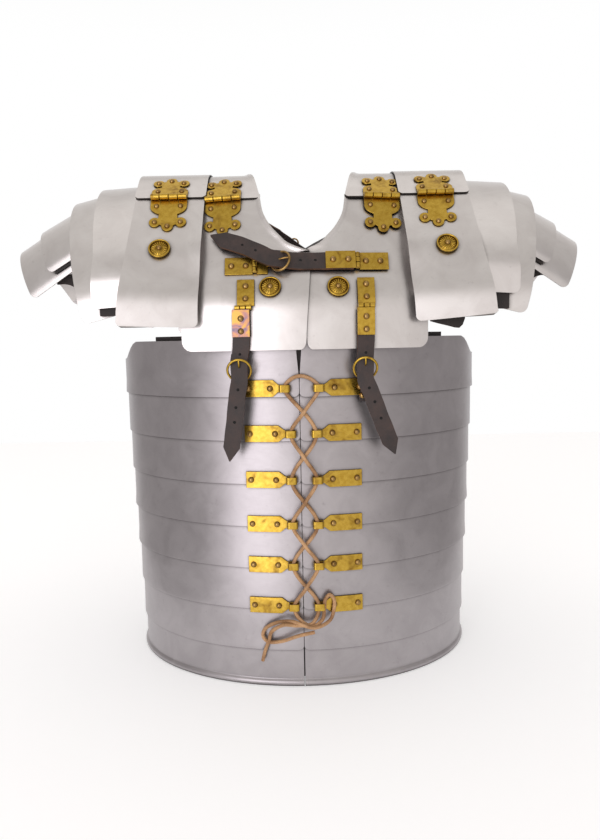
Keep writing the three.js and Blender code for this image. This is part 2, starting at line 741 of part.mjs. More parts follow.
function hangingBuckle({ ringX, tabX }) {
  const tilt = new THREE.Matrix4().makeRotationX(Math.PI / 2 + THREE.MathUtils.degToRad(ringTilt));
  const place = new THREE.Matrix4().makeTranslation(ringX, -hangRing.depth, hangRing.height).multiply(tilt);
  const low = hangRing.height - ringRadius;
  const turnAt = Math.asin((tabX - girthOffset) / girthHalfWidth);
  const face = girthHalfDepth * Math.cos(turnAt) + 2.2 * clearance + brassThickness;
  const rows = [[low - 20, face], [low - 8, face], [low + 0.6, hangRing.depth - 2]].map(([height, depth]) =>
    [-3, 3].map((aside) => new THREE.Vector3(tabX + aside, -depth, height)));
  return joined([sheet(rows, brassThickness), ring(place)]);
}

// Tie loops: a plate with a necked end, and a folded loop that the lace runs up through

function tieHeight(number) {
  return hoopBottom(number) + tieAboveEdge[number - 1];
}

function girthPoint(number, x, height, proud) {
  const turn = Math.asin(Math.abs(x) / (hoopHalfWidth(number) + proud));
  return hoopPoint(number, Math.sign(x), turn, height, proud);
}

function tieLoop(number, side) {
  const height = tieHeight(number);
  const half = tiePlateHeight / 2;
  const outline = [
    { x: tiePlateOuter, half },
    { x: (tiePlateOuter + tiePlateInner) / 2, half },
    { x: tiePlateInner, half },
    { x: tiePlateInner - 4.5, half: tieNeck / 2 },
    { x: tieLoopOuter - 2, half: tieNeck / 2 },
  ];
  const rows = [-1, 1].map((end) =>
    outline.map((row) => girthPoint(number, side * row.x, height + end * row.half, clearance + brassThickness)));
  const [left, right] = [tieLoopInner, tieLoopOuter];
  const wall = brassThickness;
  const band = new THREE.Shape([
    new THREE.Vector2(left + 2, 0),
    new THREE.Vector2(right, 0),
    new THREE.Vector2(right, tieLoopDepth - 2),
    new THREE.Vector2(right - 2, tieLoopDepth),
    new THREE.Vector2(left + 2, tieLoopDepth),
    new THREE.Vector2(left, tieLoopDepth - 2),
    new THREE.Vector2(left, 2),
  ]);
  band.holes.push(new THREE.Path([
    new THREE.Vector2(left + wall, 2.2),
    new THREE.Vector2(left + 2.2, wall),
    new THREE.Vector2(right - wall, wall),
    new THREE.Vector2(right - wall, tieLoopDepth - 2.2),
    new THREE.Vector2(right - 2.2, tieLoopDepth - wall),
    new THREE.Vector2(left + 2.2, tieLoopDepth - wall),
    new THREE.Vector2(left + wall, tieLoopDepth - 2.2),
  ]));
  const loop = new THREE.ExtrudeGeometry(band, { depth: tieNeck, bevelEnabled: false });
  const basis = new THREE.Matrix4().makeBasis(
    new THREE.Vector3(side, 0, 0), new THREE.Vector3(0, -1, 0), new THREE.Vector3(0, 0, 1));
  basis.setPosition(girthOffset, -hoopHalfDepth(number) - clearance, height - tieNeck / 2);
  loop.applyMatrix4(basis);
  return joined([sheet(rows, brassThickness), side < 0 ? loop : turnedOver(loop)]);
}

// A mirrored geometry has its faces the wrong way round, which swapping two corners of each puts right
function turnedOver(geometry) {
  const position = geometry.attributes.position;
  for (let k = 0; k < position.count; k += 3) {
    const [a, b] = [k, k + 1].map((n) => new THREE.Vector3().fromBufferAttribute(position, n));
    position.setXYZ(k, ...b.toArray());
    position.setXYZ(k + 1, ...a.toArray());
  }
  return geometry;
}

// The lace, as chosen points: x from the girth's middle, how far it stands off the hoops, and height
const laceRoute = [
  [-39.5, 2.8, 26], [-37, 3, 36], [-33, 4.5, 47], [-30, 9, 58], [-19, 11, 65.5], [-6, 7.5, 63.5], [8, 6.5, 65],
  [11.3, 4.4, 82], [-11.5, 4.2, 120], [11.5, 4.2, 159], [-11.5, 4.2, 200.5], [11.5, 4.2, 243], [-11.5, 4, 284],
  [-7, 3.6, 291.5], [0, 3.2, 294], [7, 3.6, 291.5], [11.5, 4, 284],
  [0, 8.2, 263.5], [-11.5, 4.2, 243], [0, 8.2, 222], [11.5, 4.2, 200.5], [0, 8.2, 180], [-11.5, 4.2, 159],
  [0, 8.2, 139.5], [11.5, 4.2, 120], [0, 8.2, 100], [-11.5, 4.2, 80.5], [-4, 5, 69],
  [8, 7.5, 62.5], [18, 7, 69], [20, 5.2, 82], [23.5, 4, 90], [28.5, 4, 78], [25, 6, 66.5], [10, 11, 62.5],
  [-12, 7, 67.5], [-27, 4.5, 64], [-38, 3.4, 54], [-37, 3.2, 46.5], [-22, 4.4, 46.5], [-5, 6.5, 53], [10, 6, 56],
];

function lace() {
  const taper = step / hoopPitch;
  const points = laceRoute.map(([x, proud, height]) => {
    const depth = girthHalfDepth - taper * (hoopBottom(1) - height) + proud;
    const turn = Math.asin(x / (girthHalfWidth + proud));
    return new THREE.Vector3(x + girthOffset, -depth * Math.cos(turn), height);
  });
  const section = new THREE.Shape(range(7, 0, (7 / 8) * 2 * Math.PI).map((turn) =>
    new THREE.Vector2(Math.cos(turn), Math.sin(turn)).multiplyScalar(laceDiameter / 2)));
  const route = new THREE.CatmullRomCurve3(points, false, "centripetal");
  return new THREE.ExtrudeGeometry(section, { steps: laceSteps, extrudePath: route, bevelEnabled: false });
}

for (const [name, side] of Object.entries(sides)) {
  for (let number = 1; number <= hoopCount; number++) add(`girth_hoop_${number}_${name}`, hoop(number, side), steel);
  for (let number = 1; number <= tieCount; number++) add(`tie_loop_${number}_${name}`, tieLoop(number, side), brass);
  add(`breastplate_${name}`, breastplate(side), steel);
  add(`collar_top_${name}`, collarTop(side), steel);
  add(`guard_front_${name}`, guardFront(side), steel);
  add(`guard_top_${name}`, guardTop(side), steel);
  lesserGuards.forEach((row, k) => add(`guard_${k + 1}_${name}`, lesserGuard(row, side), steel));
  add(`guard_leather_${name}`, guardLeather(side), leather);
  add(`lobed_hinge_collar_${name}`, lobedHinge(collar, side * collarHingeX), brass);
  add(`lobed_hinge_guard_${name}`, lobedHinge(guard, side * guardHingeX), brass);
  add(`strap_${name}`, hangingStrap(hanging[name]), leather);
  add(`strap_hinge_${name}`, hangingHinge(hanging[name]), brass);
  add(`strap_buckle_${name}`, hangingBuckle(hanging[name]), brass);
}
add("chest_strap", chestStrap(), leather);
add("chest_hinge", chestHinge(), brass);
add("chest_buckle", chestBuckle(), brass);
add("lace", lace(), laceLeather);

export default cuirass;
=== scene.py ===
"""The looks of a laced segmented plate cuirass: sheet steel, brass fittings, dark straps and a tan lace."""
import math

import bmesh
import bpy
from mathutils import Matrix, Vector


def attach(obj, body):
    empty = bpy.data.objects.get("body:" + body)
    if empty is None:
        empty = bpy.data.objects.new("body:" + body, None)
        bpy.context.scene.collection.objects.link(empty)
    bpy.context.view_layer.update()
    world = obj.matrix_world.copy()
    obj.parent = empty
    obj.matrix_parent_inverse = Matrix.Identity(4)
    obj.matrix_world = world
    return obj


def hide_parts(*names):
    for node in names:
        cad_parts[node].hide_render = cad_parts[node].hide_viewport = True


bl_info = {
    "name": "Segmented plate cuirass",
    "version": (1, 0, 0),
    "blender": (4, 5, 0),
    "location": "3D View > Sidebar > Cuirass",
    "description": "Builds the plates, fittings, straps and lace of a segmented cuirass",
    "category": "Add Mesh",
}

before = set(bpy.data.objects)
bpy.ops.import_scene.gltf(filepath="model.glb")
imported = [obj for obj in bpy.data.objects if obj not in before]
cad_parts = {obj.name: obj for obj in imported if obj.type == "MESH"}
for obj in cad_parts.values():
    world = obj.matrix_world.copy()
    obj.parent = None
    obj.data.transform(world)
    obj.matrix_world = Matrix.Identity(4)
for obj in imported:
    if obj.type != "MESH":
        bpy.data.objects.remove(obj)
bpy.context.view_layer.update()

MM = 0.001
SIDES = {"left": -1, "right": 1}
# A point inside the cuirass, in metres, that the outer face of each sheet faces away from
MIDDLE = Vector((0, 0, 0.341))
RIVETS = []
HOLES = []


# Small helpers

def srgb(code):
    """A hex colour as the linear colour with alpha that a shader socket holds."""
    parts = [int(code[k:k + 2], 16) / 255 for k in (1, 3, 5)]
    return tuple(c / 12.92 if c <= 0.04045 else ((c + 0.055) / 1.055) ** 2.4 for c in parts) + (1.0,)


def smooth(low, high, value):
    share = min(max((value - low) / (high - low), 0), 1)
    return share * share * (3 - 2 * share)


def mix(a, b, share):
    return a + (b - a) * share


def look_up(rows, value):
    for (a, first), (b, second) in zip(rows, rows[1:]):
        if value <= b:
            return mix(first, second, min(max((value - a) / (b - a), 0), 1))
    return rows[-1][1]


def spread(count, low, high):
    return [mix(low, high, k / count) for k in range(count + 1)]


def bezier(points, t):
    """A point on the curve that a few points pull, from the first at 0 to the last at 1."""
    while len(points) > 1:
        points = [tuple(mix(p, q, t) for p, q in zip(a, b)) for a, b in zip(points, points[1:])]
    return points[0]


def lengths_along(points):
    """How far each point of a line lies from its start, measured along it."""
    lengths = [0]
    for a, b in zip(points, points[1:]):
        lengths.append(lengths[-1] + math.dist(a, b))
    return lengths


def corner_inset(distance, radius):
    left = min(max(radius - distance, 0), radius)
    return radius - math.sqrt(radius ** 2 - left ** 2)


def corner_steps(radius, count=7):
    return [radius * (1 - math.cos(math.pi / 2 * k / count)) for k in range(count + 1)]


def curve_through(points, per_span=8):
    """A smooth line through chosen points, each a tuple of numbers."""
    ends = [points[0]] + list(points) + [points[-1]]
    line = []
    for k in range(len(points) - 1):
        a, b, c, d = ends[k:k + 4]
        for t in (n / per_span for n in range(per_span)):
            line.append(tuple(0.5 * (2 * q + (r - p) * t + (2 * p - 5 * q + 4 * r - s) * t * t
                                     + (3 * q - p - 3 * r + s) * t ** 3) for p, q, r, s in zip(a, b, c, d)))
    return line + [tuple(points[-1])]


# Plate and fitting sizes in millimetres, as in the solids. Only this script has the turns, the cut and the
# spread below, the lesser guards' steepness and push, and the first one's end x and width, and it sets the
# collar hinges 0.8 mm further out

PLATE = 1.2
CLEAR = 0.35
STEP = PLATE + CLEAR
CORNER, GUARD_CORNER = 9, 5
GIRTH_WIDTH, GIRTH_DEPTH, GIRTH_X = 186, 148.8, -6
HOOP_PITCH, HOOP_LAP, LOWEST_HOOP = 40, 10, 36
# The first hoop's height without its lap, and how far its top dips under the arm
FIRST_HOOP_RISE, ARM_DIP = 42, 17.5
COLLAR_OUTER, BREAST_WIDTH, NECK_WIDTH, NECK_RIDGE = 99, 110, 39, 58
COLLAR_DEPTH, COLLAR_BOTTOM, COLLAR_BEND = 156, 318, 358
HINGE_Y, HINGE_Z, RIDGE = 108, 457, 489.6
NECK_LOW = 404.5
# How far the collar plates' inner edge is cut back behind the neck
NECK_BACK = 14
GUARD_DEPTH, GUARD_BOTTOM, GUARD_BEND = 163, 339.2, 366
GUARD_TOP, GUARD_LOW = (89, 154.5), (94, 164)
# How far the front guard's inner and outer corner stand above its bottom, and how far it is pushed out there
GUARD_ENDS = {-1: (0, 1.8, 0), 1: (1.8, 6.8, 3.5)}
LESSER_GUARDS = [
    # ridge x, ridge z, end x, end y, end z, steepness, left push, right lift, rise, width, tilt
    (206, 487, 192, 143, 357, 1.6, -2.5, 7, 20, 62, 3.6),
    (233, 474, 199, 136, 344, 1, 0, 2, 14, 51.5, 14),
    (264, 446, 240, 88, 395, 1, 8, 0, 4, 68, 28.2),
    (289, 426, 260, 80, 371, 1, 8, 0, 4, 77, 31.5),
]
# How far the front guards turn in at their lower inner corner, and the outer edges of the two outer lesser
# guards at their ends
GUARD_TURN, OUTER_TURN = 8, 13
# About how far each half of the first hoop spreads away from the top of the front seam
SEAM_SPREAD = 1.7
BRASS = 1.0
LEAF_WIDTH, LEAF_LENGTH, LOBE, KNUCKLE = 33.5, 31.8, 5.2, 2.6
RING, RING_WIRE, RING_TILT = 10.1, 1.4, 24
STRAP, STRAP_THICK = 14.8, 2.6
FITTING, FITTING_KNUCKLE = 15.4, 2.3
OVER_LEATHER = STRAP_THICK + 3 * CLEAR
RESTS_AT = STRAP_THICK + CLEAR
LEATHER = 2.2
COLLAR_HINGE_X, GUARD_HINGE_X = 73.4, 122.5
# The faces and edges of each kind of sheet
SATIN = ["satin_ground_steel", "cut_steel_edge"]
SHADED_HOOP = ["dulled_hoop_steel", "cut_steel_edge"]
INNER = ["inner_leather", "cut_leather_edge"]


class Profile:
    """The side profile of the plates over a shoulder, from the front's bottom edge over to the back's."""

    def __init__(self, depth, bottom, bend, hinge_y, hinge_z, ridge, bow):
        reach, run, slope, bend_steps = 13, 32, math.radians(40), 14
        lean = Vector((depth - hinge_y, hinge_z - bend)).normalized()
        run_y, run_z = hinge_y - run * math.cos(slope), hinge_z + run * math.sin(slope)
        crest = min(ridge, run_z + run_y * 0.2 * math.tan(slope))
        bent = ((-depth, bend - reach), (-depth, bend), (-depth + lean.x * reach, bend + lean.y * reach))
        over = ((-run_y, run_z), (-run_y * 0.8, crest), (-run_y * 0.45, ridge), (0, ridge))
        front = [(-depth, bottom)] + [bezier(bent, t) for t in spread(bend_steps, 0, 1)]
        front += [(-hinge_y, hinge_z)] + [bezier(over, t) for t in spread(30, 0, 1)]
        self.points = front + [(-y, z) for y, z in reversed(front[:-1])]
        self.lengths = lengths_along(self.points)
        self.length = self.lengths[-1]
        self.to_bend, self.after_bend, self.to_hinge = (self.lengths[1 + k]
                                                        for k in (0, bend_steps, bend_steps + 1))
        self.bow = bow

    def at(self, along):
        along = min(max(along, 0), self.length)
        low, high = 0, len(self.lengths) - 1
        while high - low > 1:
            middle = (low + high) // 2
            low, high = (middle, high) if self.lengths[middle] <= along else (low, middle)
        share = (along - self.lengths[low]) / (self.lengths[high] - self.lengths[low])
        (a, b), (c, d) = self.points[low], self.points[high]
        return Vector((mix(a, c, share), mix(b, d, share)))

    def height(self, along):
        return self.at(along).y

    def along(self, height):
        low, high = 0, self.length / 2
        for _ in range(24):
            middle = (low + high) / 2
            low, high = (middle, high) if self.height(middle) < height else (low, middle)
        return low

    def point(self, x, along, proud=0.0):
        """A point at x across and a distance along the profile, stood proud of it."""
        place, soften = self.at(along), 1.6
        way = (self.at(along + soften) - self.at(along - soften)).normalized()
        y = place.x * (1 - self.bow * x * x) - way.y * proud
        return Vector((x, y, place.y + way.x * proud))

    def frame(self, x, along, proud=0.0):
        """A placing on the plate: its X across, its Y up along the plate, its Z outward."""
        across = self.point(x + 0.5, along, proud) - self.point(x - 0.5, along, proud)
        up = (self.point(x, along + 0.5, proud) - self.point(x, along - 0.5, proud)).normalized()
        out = across.cross(up).normalized()
        turned = Matrix((up.cross(out).normalized(), up, out)).transposed().to_4x4()
        return Matrix.Translation(self.point(x, along, proud)) @ turned


# The breastplates curve back by 12 mm from the middle to their outer edge, and the guards are straight across
COLLAR = Profile(COLLAR_DEPTH, COLLAR_BOTTOM, COLLAR_BEND, HINGE_Y, HINGE_Z, RIDGE,
                 12 / COLLAR_DEPTH / BREAST_WIDTH ** 2)
GUARD = Profile(GUARD_DEPTH, GUARD_BOTTOM, GUARD_BEND, HINGE_Y - STEP, HINGE_Z + STEP, RIDGE + STEP, 0)


def hoop_bottom(number):
    return 0 if number == 8 else LOWEST_HOOP + HOOP_PITCH * (7 - number)


def hoop_point(number, side, turn, height, proud=0.0):
    less = STEP * (number - 1)
    return Vector((side * (GIRTH_WIDTH - less + proud) * math.sin(turn) + GIRTH_X,
                   -(GIRTH_DEPTH - less + proud) * math.cos(turn), height))


def on_girth(number, x, height, proud):
    """A point over a hoop's front, by how far it lies from the girth's middle."""
    turn = math.asin(abs(x) / (GIRTH_WIDTH - STEP * (number - 1) + proud))
    return hoop_point(number, math.copysign(1, x), turn, height, proud)


# Mesh makers

def linked(name, data):
    """An object in the scene that shows its data."""
    made = bpy.data.objects.new(name, data)
    bpy.context.collection.objects.link(made)
    return made


def grid_faces(rows, columns, closed_rows=False, closed_columns=False):
    """The four-cornered faces between points that are numbered row by row."""
    faces = []
    for i in range(rows if closed_rows else rows - 1):
        for j in range(columns if closed_columns else columns - 1):
            near, far, beside = i * columns, (i + 1) % rows * columns, (j + 1) % columns
            faces.append((near + j, near + beside, far + beside, far + j))
    return faces


def new_object(name, vertices, faces, materials, smooth_faces=True):
    """A mesh from points in millimetres, joined where they meet and facing outwards."""
    mesh = bpy.data.meshes.new(name)
    mesh.from_pydata([tuple(c * MM for c in v) for v in vertices], [], faces)
    shape = bmesh.new()
    shape.from_mesh(mesh)
    bmesh.ops.remove_doubles(shape, verts=shape.verts, dist=1e-6)
    bmesh.ops.recalc_face_normals(shape, faces=shape.faces)
    shape.to_mesh(mesh)
    shape.free()
    for material in materials:
        mesh.materials.append(bpy.data.materials[material])
    mesh.polygons.foreach_set("use_smooth", [smooth_faces] * len(mesh.polygons))
    return linked(name, mesh)


def baked(made):
    """Turns what the modifiers make into the object's own mesh."""
    bpy.context.view_layer.update()
    mesh = bpy.data.meshes.new_from_object(made.evaluated_get(bpy.context.evaluated_depsgraph_get()))
    made.modifiers.clear()
    made.data = mesh
    return made


def eased(made, width, sharper_than=50):
    """Rounds the edges that are sharper than an angle by a width in millimetres, and keeps the flats flat."""
    bevel = made.modifiers.new("edge", "BEVEL")
    bevel.width = width * MM
    bevel.segments = 2
    bevel.angle_limit = math.radians(sharper_than)
    made.modifiers.new("shading", "WEIGHTED_NORMAL").keep_sharp = True
    return baked(made)


def sheet(name, rows, thickness, materials, edge=0.3):
    """A sheet from rows of points on its outer face, given its thickness inward and its edges eased."""
    made = new_object(name, [p for row in rows for p in row], grid_faces(len(rows), len(rows[0])), materials)
    face = made.data.polygons[len(made.data.polygons) // 2]
    if face.normal.dot(face.center - MIDDLE) < 0:
        made.data.flip_normals()
    wall = made.modifiers.new("wall", "SOLIDIFY")
    wall.thickness = thickness * MM
    wall.offset = -1
    wall.use_even_offset = True
    wall.material_offset_rim = 1 if len(materials) > 1 else 0
    return eased(made, edge)


def flat_plate(name, outline, matrix, thickness, materials, edge=0.22):
    """A plate cut to an outline, lying on a placing and rising from it by its thickness."""
    shape = bmesh.new()
    corners = [shape.verts.new(matrix @ Vector((x, y, 0)) * MM) for x, y in outline]
    face = shape.faces.new(corners)
    up = matrix.to_3x3() @ Vector((0, 0, 1))
    face.normal_update()
    if face.normal.dot(up) < 0:
        face.normal_flip()
    raised = bmesh.ops.extrude_face_region(shape, geom=[face])
    bmesh.ops.translate(shape, vec=up * thickness * MM,
                        verts=[g for g in raised["geom"] if isinstance(g, bmesh.types.BMVert)])
    bmesh.ops.recalc_face_normals(shape, faces=shape.faces)
    mesh = bpy.data.meshes.new(name)
    shape.to_mesh(mesh)
    shape.free()
    for material in materials:
        mesh.materials.append(bpy.data.materials[material])
    mesh.polygons.foreach_set("use_smooth", [True] * len(mesh.polygons))
    return eased(linked(name, mesh), edge)


def tube(name, centres, radius, materials, sides=14, closed=False):
    """A round bar along a line of points, with rounded ends where it is open."""
    count = len(centres)
    reach = [centres[(k + 1) % count] - centres[k - 1] if closed else
             centres[min(k + 1, count - 1)] - centres[max(k - 1, 0)] for k in range(count)]
    upward = Vector((0, 0, 1)) if abs(reach[0].normalized().z) < 0.9 else Vector((1, 0, 0))
    across = reach[0].cross(upward).normalized()
    sections = []
    for centre, way in zip(centres, reach):
        way = way.normalized()
        across = (across - way * across.dot(way)).normalized()
        sections.append((centre, across, way.cross(across), 1.0))
    if not closed:
        first, last = sections[0], sections[-1]
        start_way, end_way = reach[0].normalized() * radius, reach[-1].normalized() * radius
        # How far each ring of a rounded end is beyond the bar, and how wide it is, as shares of the radius
        cap = [(0.35, 0.93), (0.75, 0.66), (0.96, 0.28)]
        before = [(first[0] - start_way * beyond, *first[1:3], wide) for beyond, wide in reversed(cap)]
        sections = before + sections + [(last[0] + end_way * beyond, *last[1:3], wide) for beyond,
                                        wide in cap]
    points = []
    for centre, aside, other, size in sections:
        for k in range(sides):
            turn = 2 * math.pi * k / sides
            points.append(centre + (aside * math.cos(turn) + other * math.sin(turn)) * radius * size)
    faces = grid_faces(len(sections), sides, closed, True)
    if not closed:
        faces += [tuple(range(sides)), tuple(range((len(sections) - 1) * sides, len(sections) * sides))]
    return new_object(name, points, faces, materials)


def turned(name, section, matrix, materials, sides=32):
    """A shape turned round its own Z, from a section of (radius, height) that starts and ends on the axis."""
    points = []
    for radius, height in section:
        for k in range(sides):
            turn = 2 * math.pi * k / sides
            points.append(matrix @ Vector((radius * math.cos(turn), radius * math.sin(turn), height)))
    return new_object(name, points, grid_faces(len(section), sides, False, True), materials)


def joined(name, parts):
    """Several meshes as one piece."""
    shape = bmesh.new()
    materials = []
    for part in parts:
        for material in part.data.materials:
            if material not in materials:
                materials.append(material)
    for part in parts:
        places = [materials.index(m) for m in part.data.materials]
        start = len(shape.faces)
        shape.from_mesh(part.data)
        shape.faces.ensure_lookup_table()
        for face in shape.faces[start:]:
            face.material_index = places[face.material_index]
    mesh = bpy.data.meshes.new(name)
    shape.to_mesh(mesh)
    shape.free()
    for material in materials:
        mesh.materials.append(material)
    for part in parts:
        bpy.data.objects.remove(part)
    return linked(name, mesh)


def settle(made, slot, *nodes):
    """Fixes a finished piece to the cuirass, in place of the solids that it stands for."""
    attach(made, "root")
    if nodes:
        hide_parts(*nodes)


# Nodes

def node(tree, kind, inputs=None, stops=(), **settings):
    """Adds a node with its settings; each input is linked to another node, or set to a value."""
    made = tree.nodes.new(kind)
    for key, value in settings.items():
        setattr(made, key, value)
    sockets = [s for s in made.inputs if s.enabled]
    for key, value in (inputs or {}).items():
        socket = sockets[key] if isinstance(key, int) else next(s for s in sockets if s.name == key)
        if isinstance(value, bpy.types.Node):
            value = next(s for s in value.outputs if s.enabled)
        if isinstance(value, bpy.types.NodeSocket):
            tree.links.new(value, socket)
        else:
            socket.default_value = value
    for k, (position, code) in enumerate(stops):
        element = made.color_ramp.elements[k] if k < 2 else made.color_ramp.elements.new(position)
        element.position = position
        element.color = srgb(code)
    return made


def material(name):
    """A new material's node tree, and the place on the object in metres."""
    made = bpy.data.materials.new(name)
    made.use_nodes = True
    made.node_tree.nodes.clear()
    tree = made.node_tree
    return tree, node(tree, "ShaderNodeTexCoord").outputs["Object"]


def shade(tree, inputs):
    """Ends a material in its surface."""
    surface = node(tree, "ShaderNodeBsdfPrincipled", inputs)
    node(tree, "ShaderNodeOutputMaterial", {"Surface": surface})


def painted_crevice_shade(tree, colour, deep, reach, strength):
    """Darkens a colour where another piece lies close over it: painted shade in the laps, gaps and crevices,
    where contact shadows fall.
    """
    open_air = node(tree, "ShaderNodeAmbientOcclusion", {"Distance": reach}, samples=8)
    share = node(tree, "ShaderNodeMapRange", {
        "Value": open_air.outputs["AO"], "From Min": 0.55, "From Max": 0.94, "To Min": strength,
        "To Max": 0.0})
    return node(tree, "ShaderNodeMix", {"Factor": share, "A": colour, "B": srgb(deep)}, data_type="RGBA")


def satin_steel(name, pale, middle, dull, gloss, reach):
    """Mild steel sheet, ground to a satin: wide soft reflections, a fine grain and the smears of hands."""
    tree, place = material(name)
    # Slow waves of hand-bent sheet, about 90 mm long, that bend the reflections
    waves = node(tree, "ShaderNodeTexNoise", {"Vector": place, "Scale": 11.0, "Detail": 2.0})
    # Smears of about 30 mm, and dull specks of about 5 mm
    smears = node(tree, "ShaderNodeTexNoise", {
        "Vector": place, "Scale": 32.0, "Detail": 6.0, "Roughness": 0.62, "Distortion": 0.7})
    specks = node(tree, "ShaderNodeTexNoise",
                  {"Vector": place, "Scale": 190.0, "Detail": 6.0, "Roughness": 0.7})
    # The belt's grain runs round the body; real scratches are 0.1 mm apart and are drawn at 0.8 mm to show
    lie = node(tree, "ShaderNodeMapping", {"Vector": place, "Scale": (0.1, 0.1, 1.0)})
    grain = node(tree, "ShaderNodeTexNoise", {"Vector": lie, "Scale": 1250.0, "Detail": 3.0})
    toned = node(tree, "ShaderNodeValToRGB", {"Fac": smears}, stops=[(0.34, middle), (0.64, pale)])
    speckled = node(tree, "ShaderNodeMapRange", {
        "Value": specks, "From Min": 0.6, "From Max": 0.78, "To Min": 0.0, "To Max": 0.4})
    colour = node(tree, "ShaderNodeMix", {"Factor": speckled, "A": toned, "B": srgb(dull)}, data_type="RGBA")
    smeared = node(tree, "ShaderNodeMapRange", {
        "Value": smears, "From Min": 0.3, "From Max": 0.7, "To Min": gloss, "To Max": gloss + 0.06})
    grained = node(tree, "ShaderNodeMapRange", {
        "Value": grain, "From Min": 0.3, "From Max": 0.7, "To Min": -0.03, "To Max": 0.03})
    rough = node(tree, "ShaderNodeMath", {0: smeared, 1: grained}, operation="ADD")
    slow = node(tree, "ShaderNodeBump", {"Height": waves, "Strength": 0.14, "Distance": 0.003})
    fine = node(tree, "ShaderNodeBump", {"Height": grain, "Strength": 0.08, "Distance": 0.0002,
                                         "Normal": slow})
    # Painted shade: the steel darkens in the laps and gaps, where contact shadows fall
    crevice_shaded = painted_crevice_shade(tree, colour, "#3d3836", reach, 0.8)
    shade(tree, {"Base Color": crevice_shaded, "Metallic": 1.0, "Roughness": rough, "Normal": fine})


def sheet_brass(name, bright, golden, tarnish, amount):
    """Brass, polished and then handled: golden with browner tarnish, soft dents and fine wear."""
    tree, place = material(name)
    # Tarnish in patches of about 12 mm, and dents of about 4 mm from the hammer
    patches = node(tree, "ShaderNodeTexNoise", {
        "Vector": place, "Scale": 85.0, "Detail": 5.0, "Roughness": 0.6, "Distortion": 0.5})
    dents = node(tree, "ShaderNodeTexNoise", {"Vector": place, "Scale": 260.0, "Detail": 3.0})
    toned = node(tree, "ShaderNodeValToRGB", {"Fac": dents}, stops=[(0.3, golden), (0.62, bright)])
    spread_out = node(tree, "ShaderNodeMapRange", {
        "Value": patches, "From Min": 0.62 - amount * 0.2, "From Max": 0.76 - amount * 0.1, "To Max": 0.75})
    colour = node(tree, "ShaderNodeMix", {"Factor": spread_out, "A": toned, "B": srgb(tarnish)},
                  data_type="RGBA")
    rough = node(tree, "ShaderNodeMapRange", {
        "Value": patches, "From Min": 0.35, "From Max": 0.7, "To Min": 0.22, "To Max": 0.42})
    bumps = node(tree, "ShaderNodeBump", {"Height": dents, "Strength": 0.15, "Distance": 0.0004})
    # Painted shade: the brass darkens round the rivets and in the rosettes' relief
    crevice_shaded = painted_crevice_shade(tree, colour, "#4a3216", 0.002, 0.35)
    shade(tree, {"Base Color": crevice_shaded, "Metallic": 1.0, "Roughness": rough, "Normal": bumps})


def heated_brass(name):
    """Brass that a flame has coloured: gold, copper pink and violet grey in clear-edged patches."""
    tree, place = material(name)
    patches = node(tree, "ShaderNodeTexNoise", {
        "Vector": place, "Scale": 75.0, "Detail": 4.0, "Roughness": 0.5, "Distortion": 1.2})
    colour = node(tree, "ShaderNodeValToRGB", {"Fac": patches}, stops=[
        (0.36, "#6f6270"), (0.60, "#b8924e"), (0.44, "#94706e"), (0.51, "#ac7f5e")])
    bumps = node(tree, "ShaderNodeBump", {"Height": patches, "Strength": 0.2, "Distance": 0.0006})
    shade(tree, {"Base Color": colour, "Metallic": 1.0, "Roughness": 0.33, "Normal": bumps})


def strap_leather(name, dark, worn, shine):
    """Vegetable tanned strap leather, dyed dark: a fine pebble, a dull sheen and paler worn spots."""
    tree, place = material(name)
    # Pebbles are 0.6 mm across on such leather and are drawn at 1.1 mm to show
    pebbles = node(tree, "ShaderNodeTexVoronoi", {"Vector": place, "Scale": 900.0})
    wear = node(tree, "ShaderNodeTexNoise", {"Vector": place, "Scale": 70.0, "Detail": 6.0,
                                             "Roughness": 0.65})
    colour = node(tree, "ShaderNodeValToRGB", {"Fac": wear}, stops=[(0.38, dark), (0.68, worn)])
    rough = node(tree, "ShaderNodeMapRange", {
        "Value": wear, "From Min": 0.3, "From Max": 0.7, "To Min": shine, "To Max": shine + 0.14})
    bumps = node(tree, "ShaderNodeBump", {"Height": pebbles, "Strength": 0.3, "Distance": 0.0004})
    shade(tree, {"Base Color": colour, "Roughness": rough, "Normal": bumps})


def thong_leather(name, pale, deep):
    """Raw cut thong: tan, matt, with fibres along it and darker handled stretches."""
    tree, place = material(name)
    fibres = node(tree, "ShaderNodeTexNoise", {"Vector": place, "Scale": 900.0, "Detail": 4.0})
    handled = node(tree, "ShaderNodeTexNoise", {"Vector": place, "Scale": 60.0, "Detail": 4.0})
    both = node(tree, "ShaderNodeMix", {"Factor": 0.35, "A": handled, "B": fibres})
    colour = node(tree, "ShaderNodeValToRGB", {"Fac": both}, stops=[(0.38, deep), (0.6, pale)])
    bumps = node(tree, "ShaderNodeBump", {"Height": fibres, "Strength": 0.5, "Distance": 0.0004})
    shade(tree, {"Base Color": colour, "Roughness": 0.72, "Normal": bumps})


def plain_paper(name, tone):
    """Studio paper on a light table: matt, with a faint tooth, and lit a little from below."""
    tree, place = material(name)
    tooth = node(tree, "ShaderNodeTexNoise", {"Vector": place, "Scale": 400.0, "Detail": 3.0})
    bumps = node(tree, "ShaderNodeBump", {"Height": tooth, "Strength": 0.05, "Distance": 0.0005})
    shade(tree, {"Base Color": tone, "Roughness": 0.9, "Normal": bumps,
                 "Emission Color": (1.0, 1.0, 1.0, 1.0), "Emission Strength": 0.36})


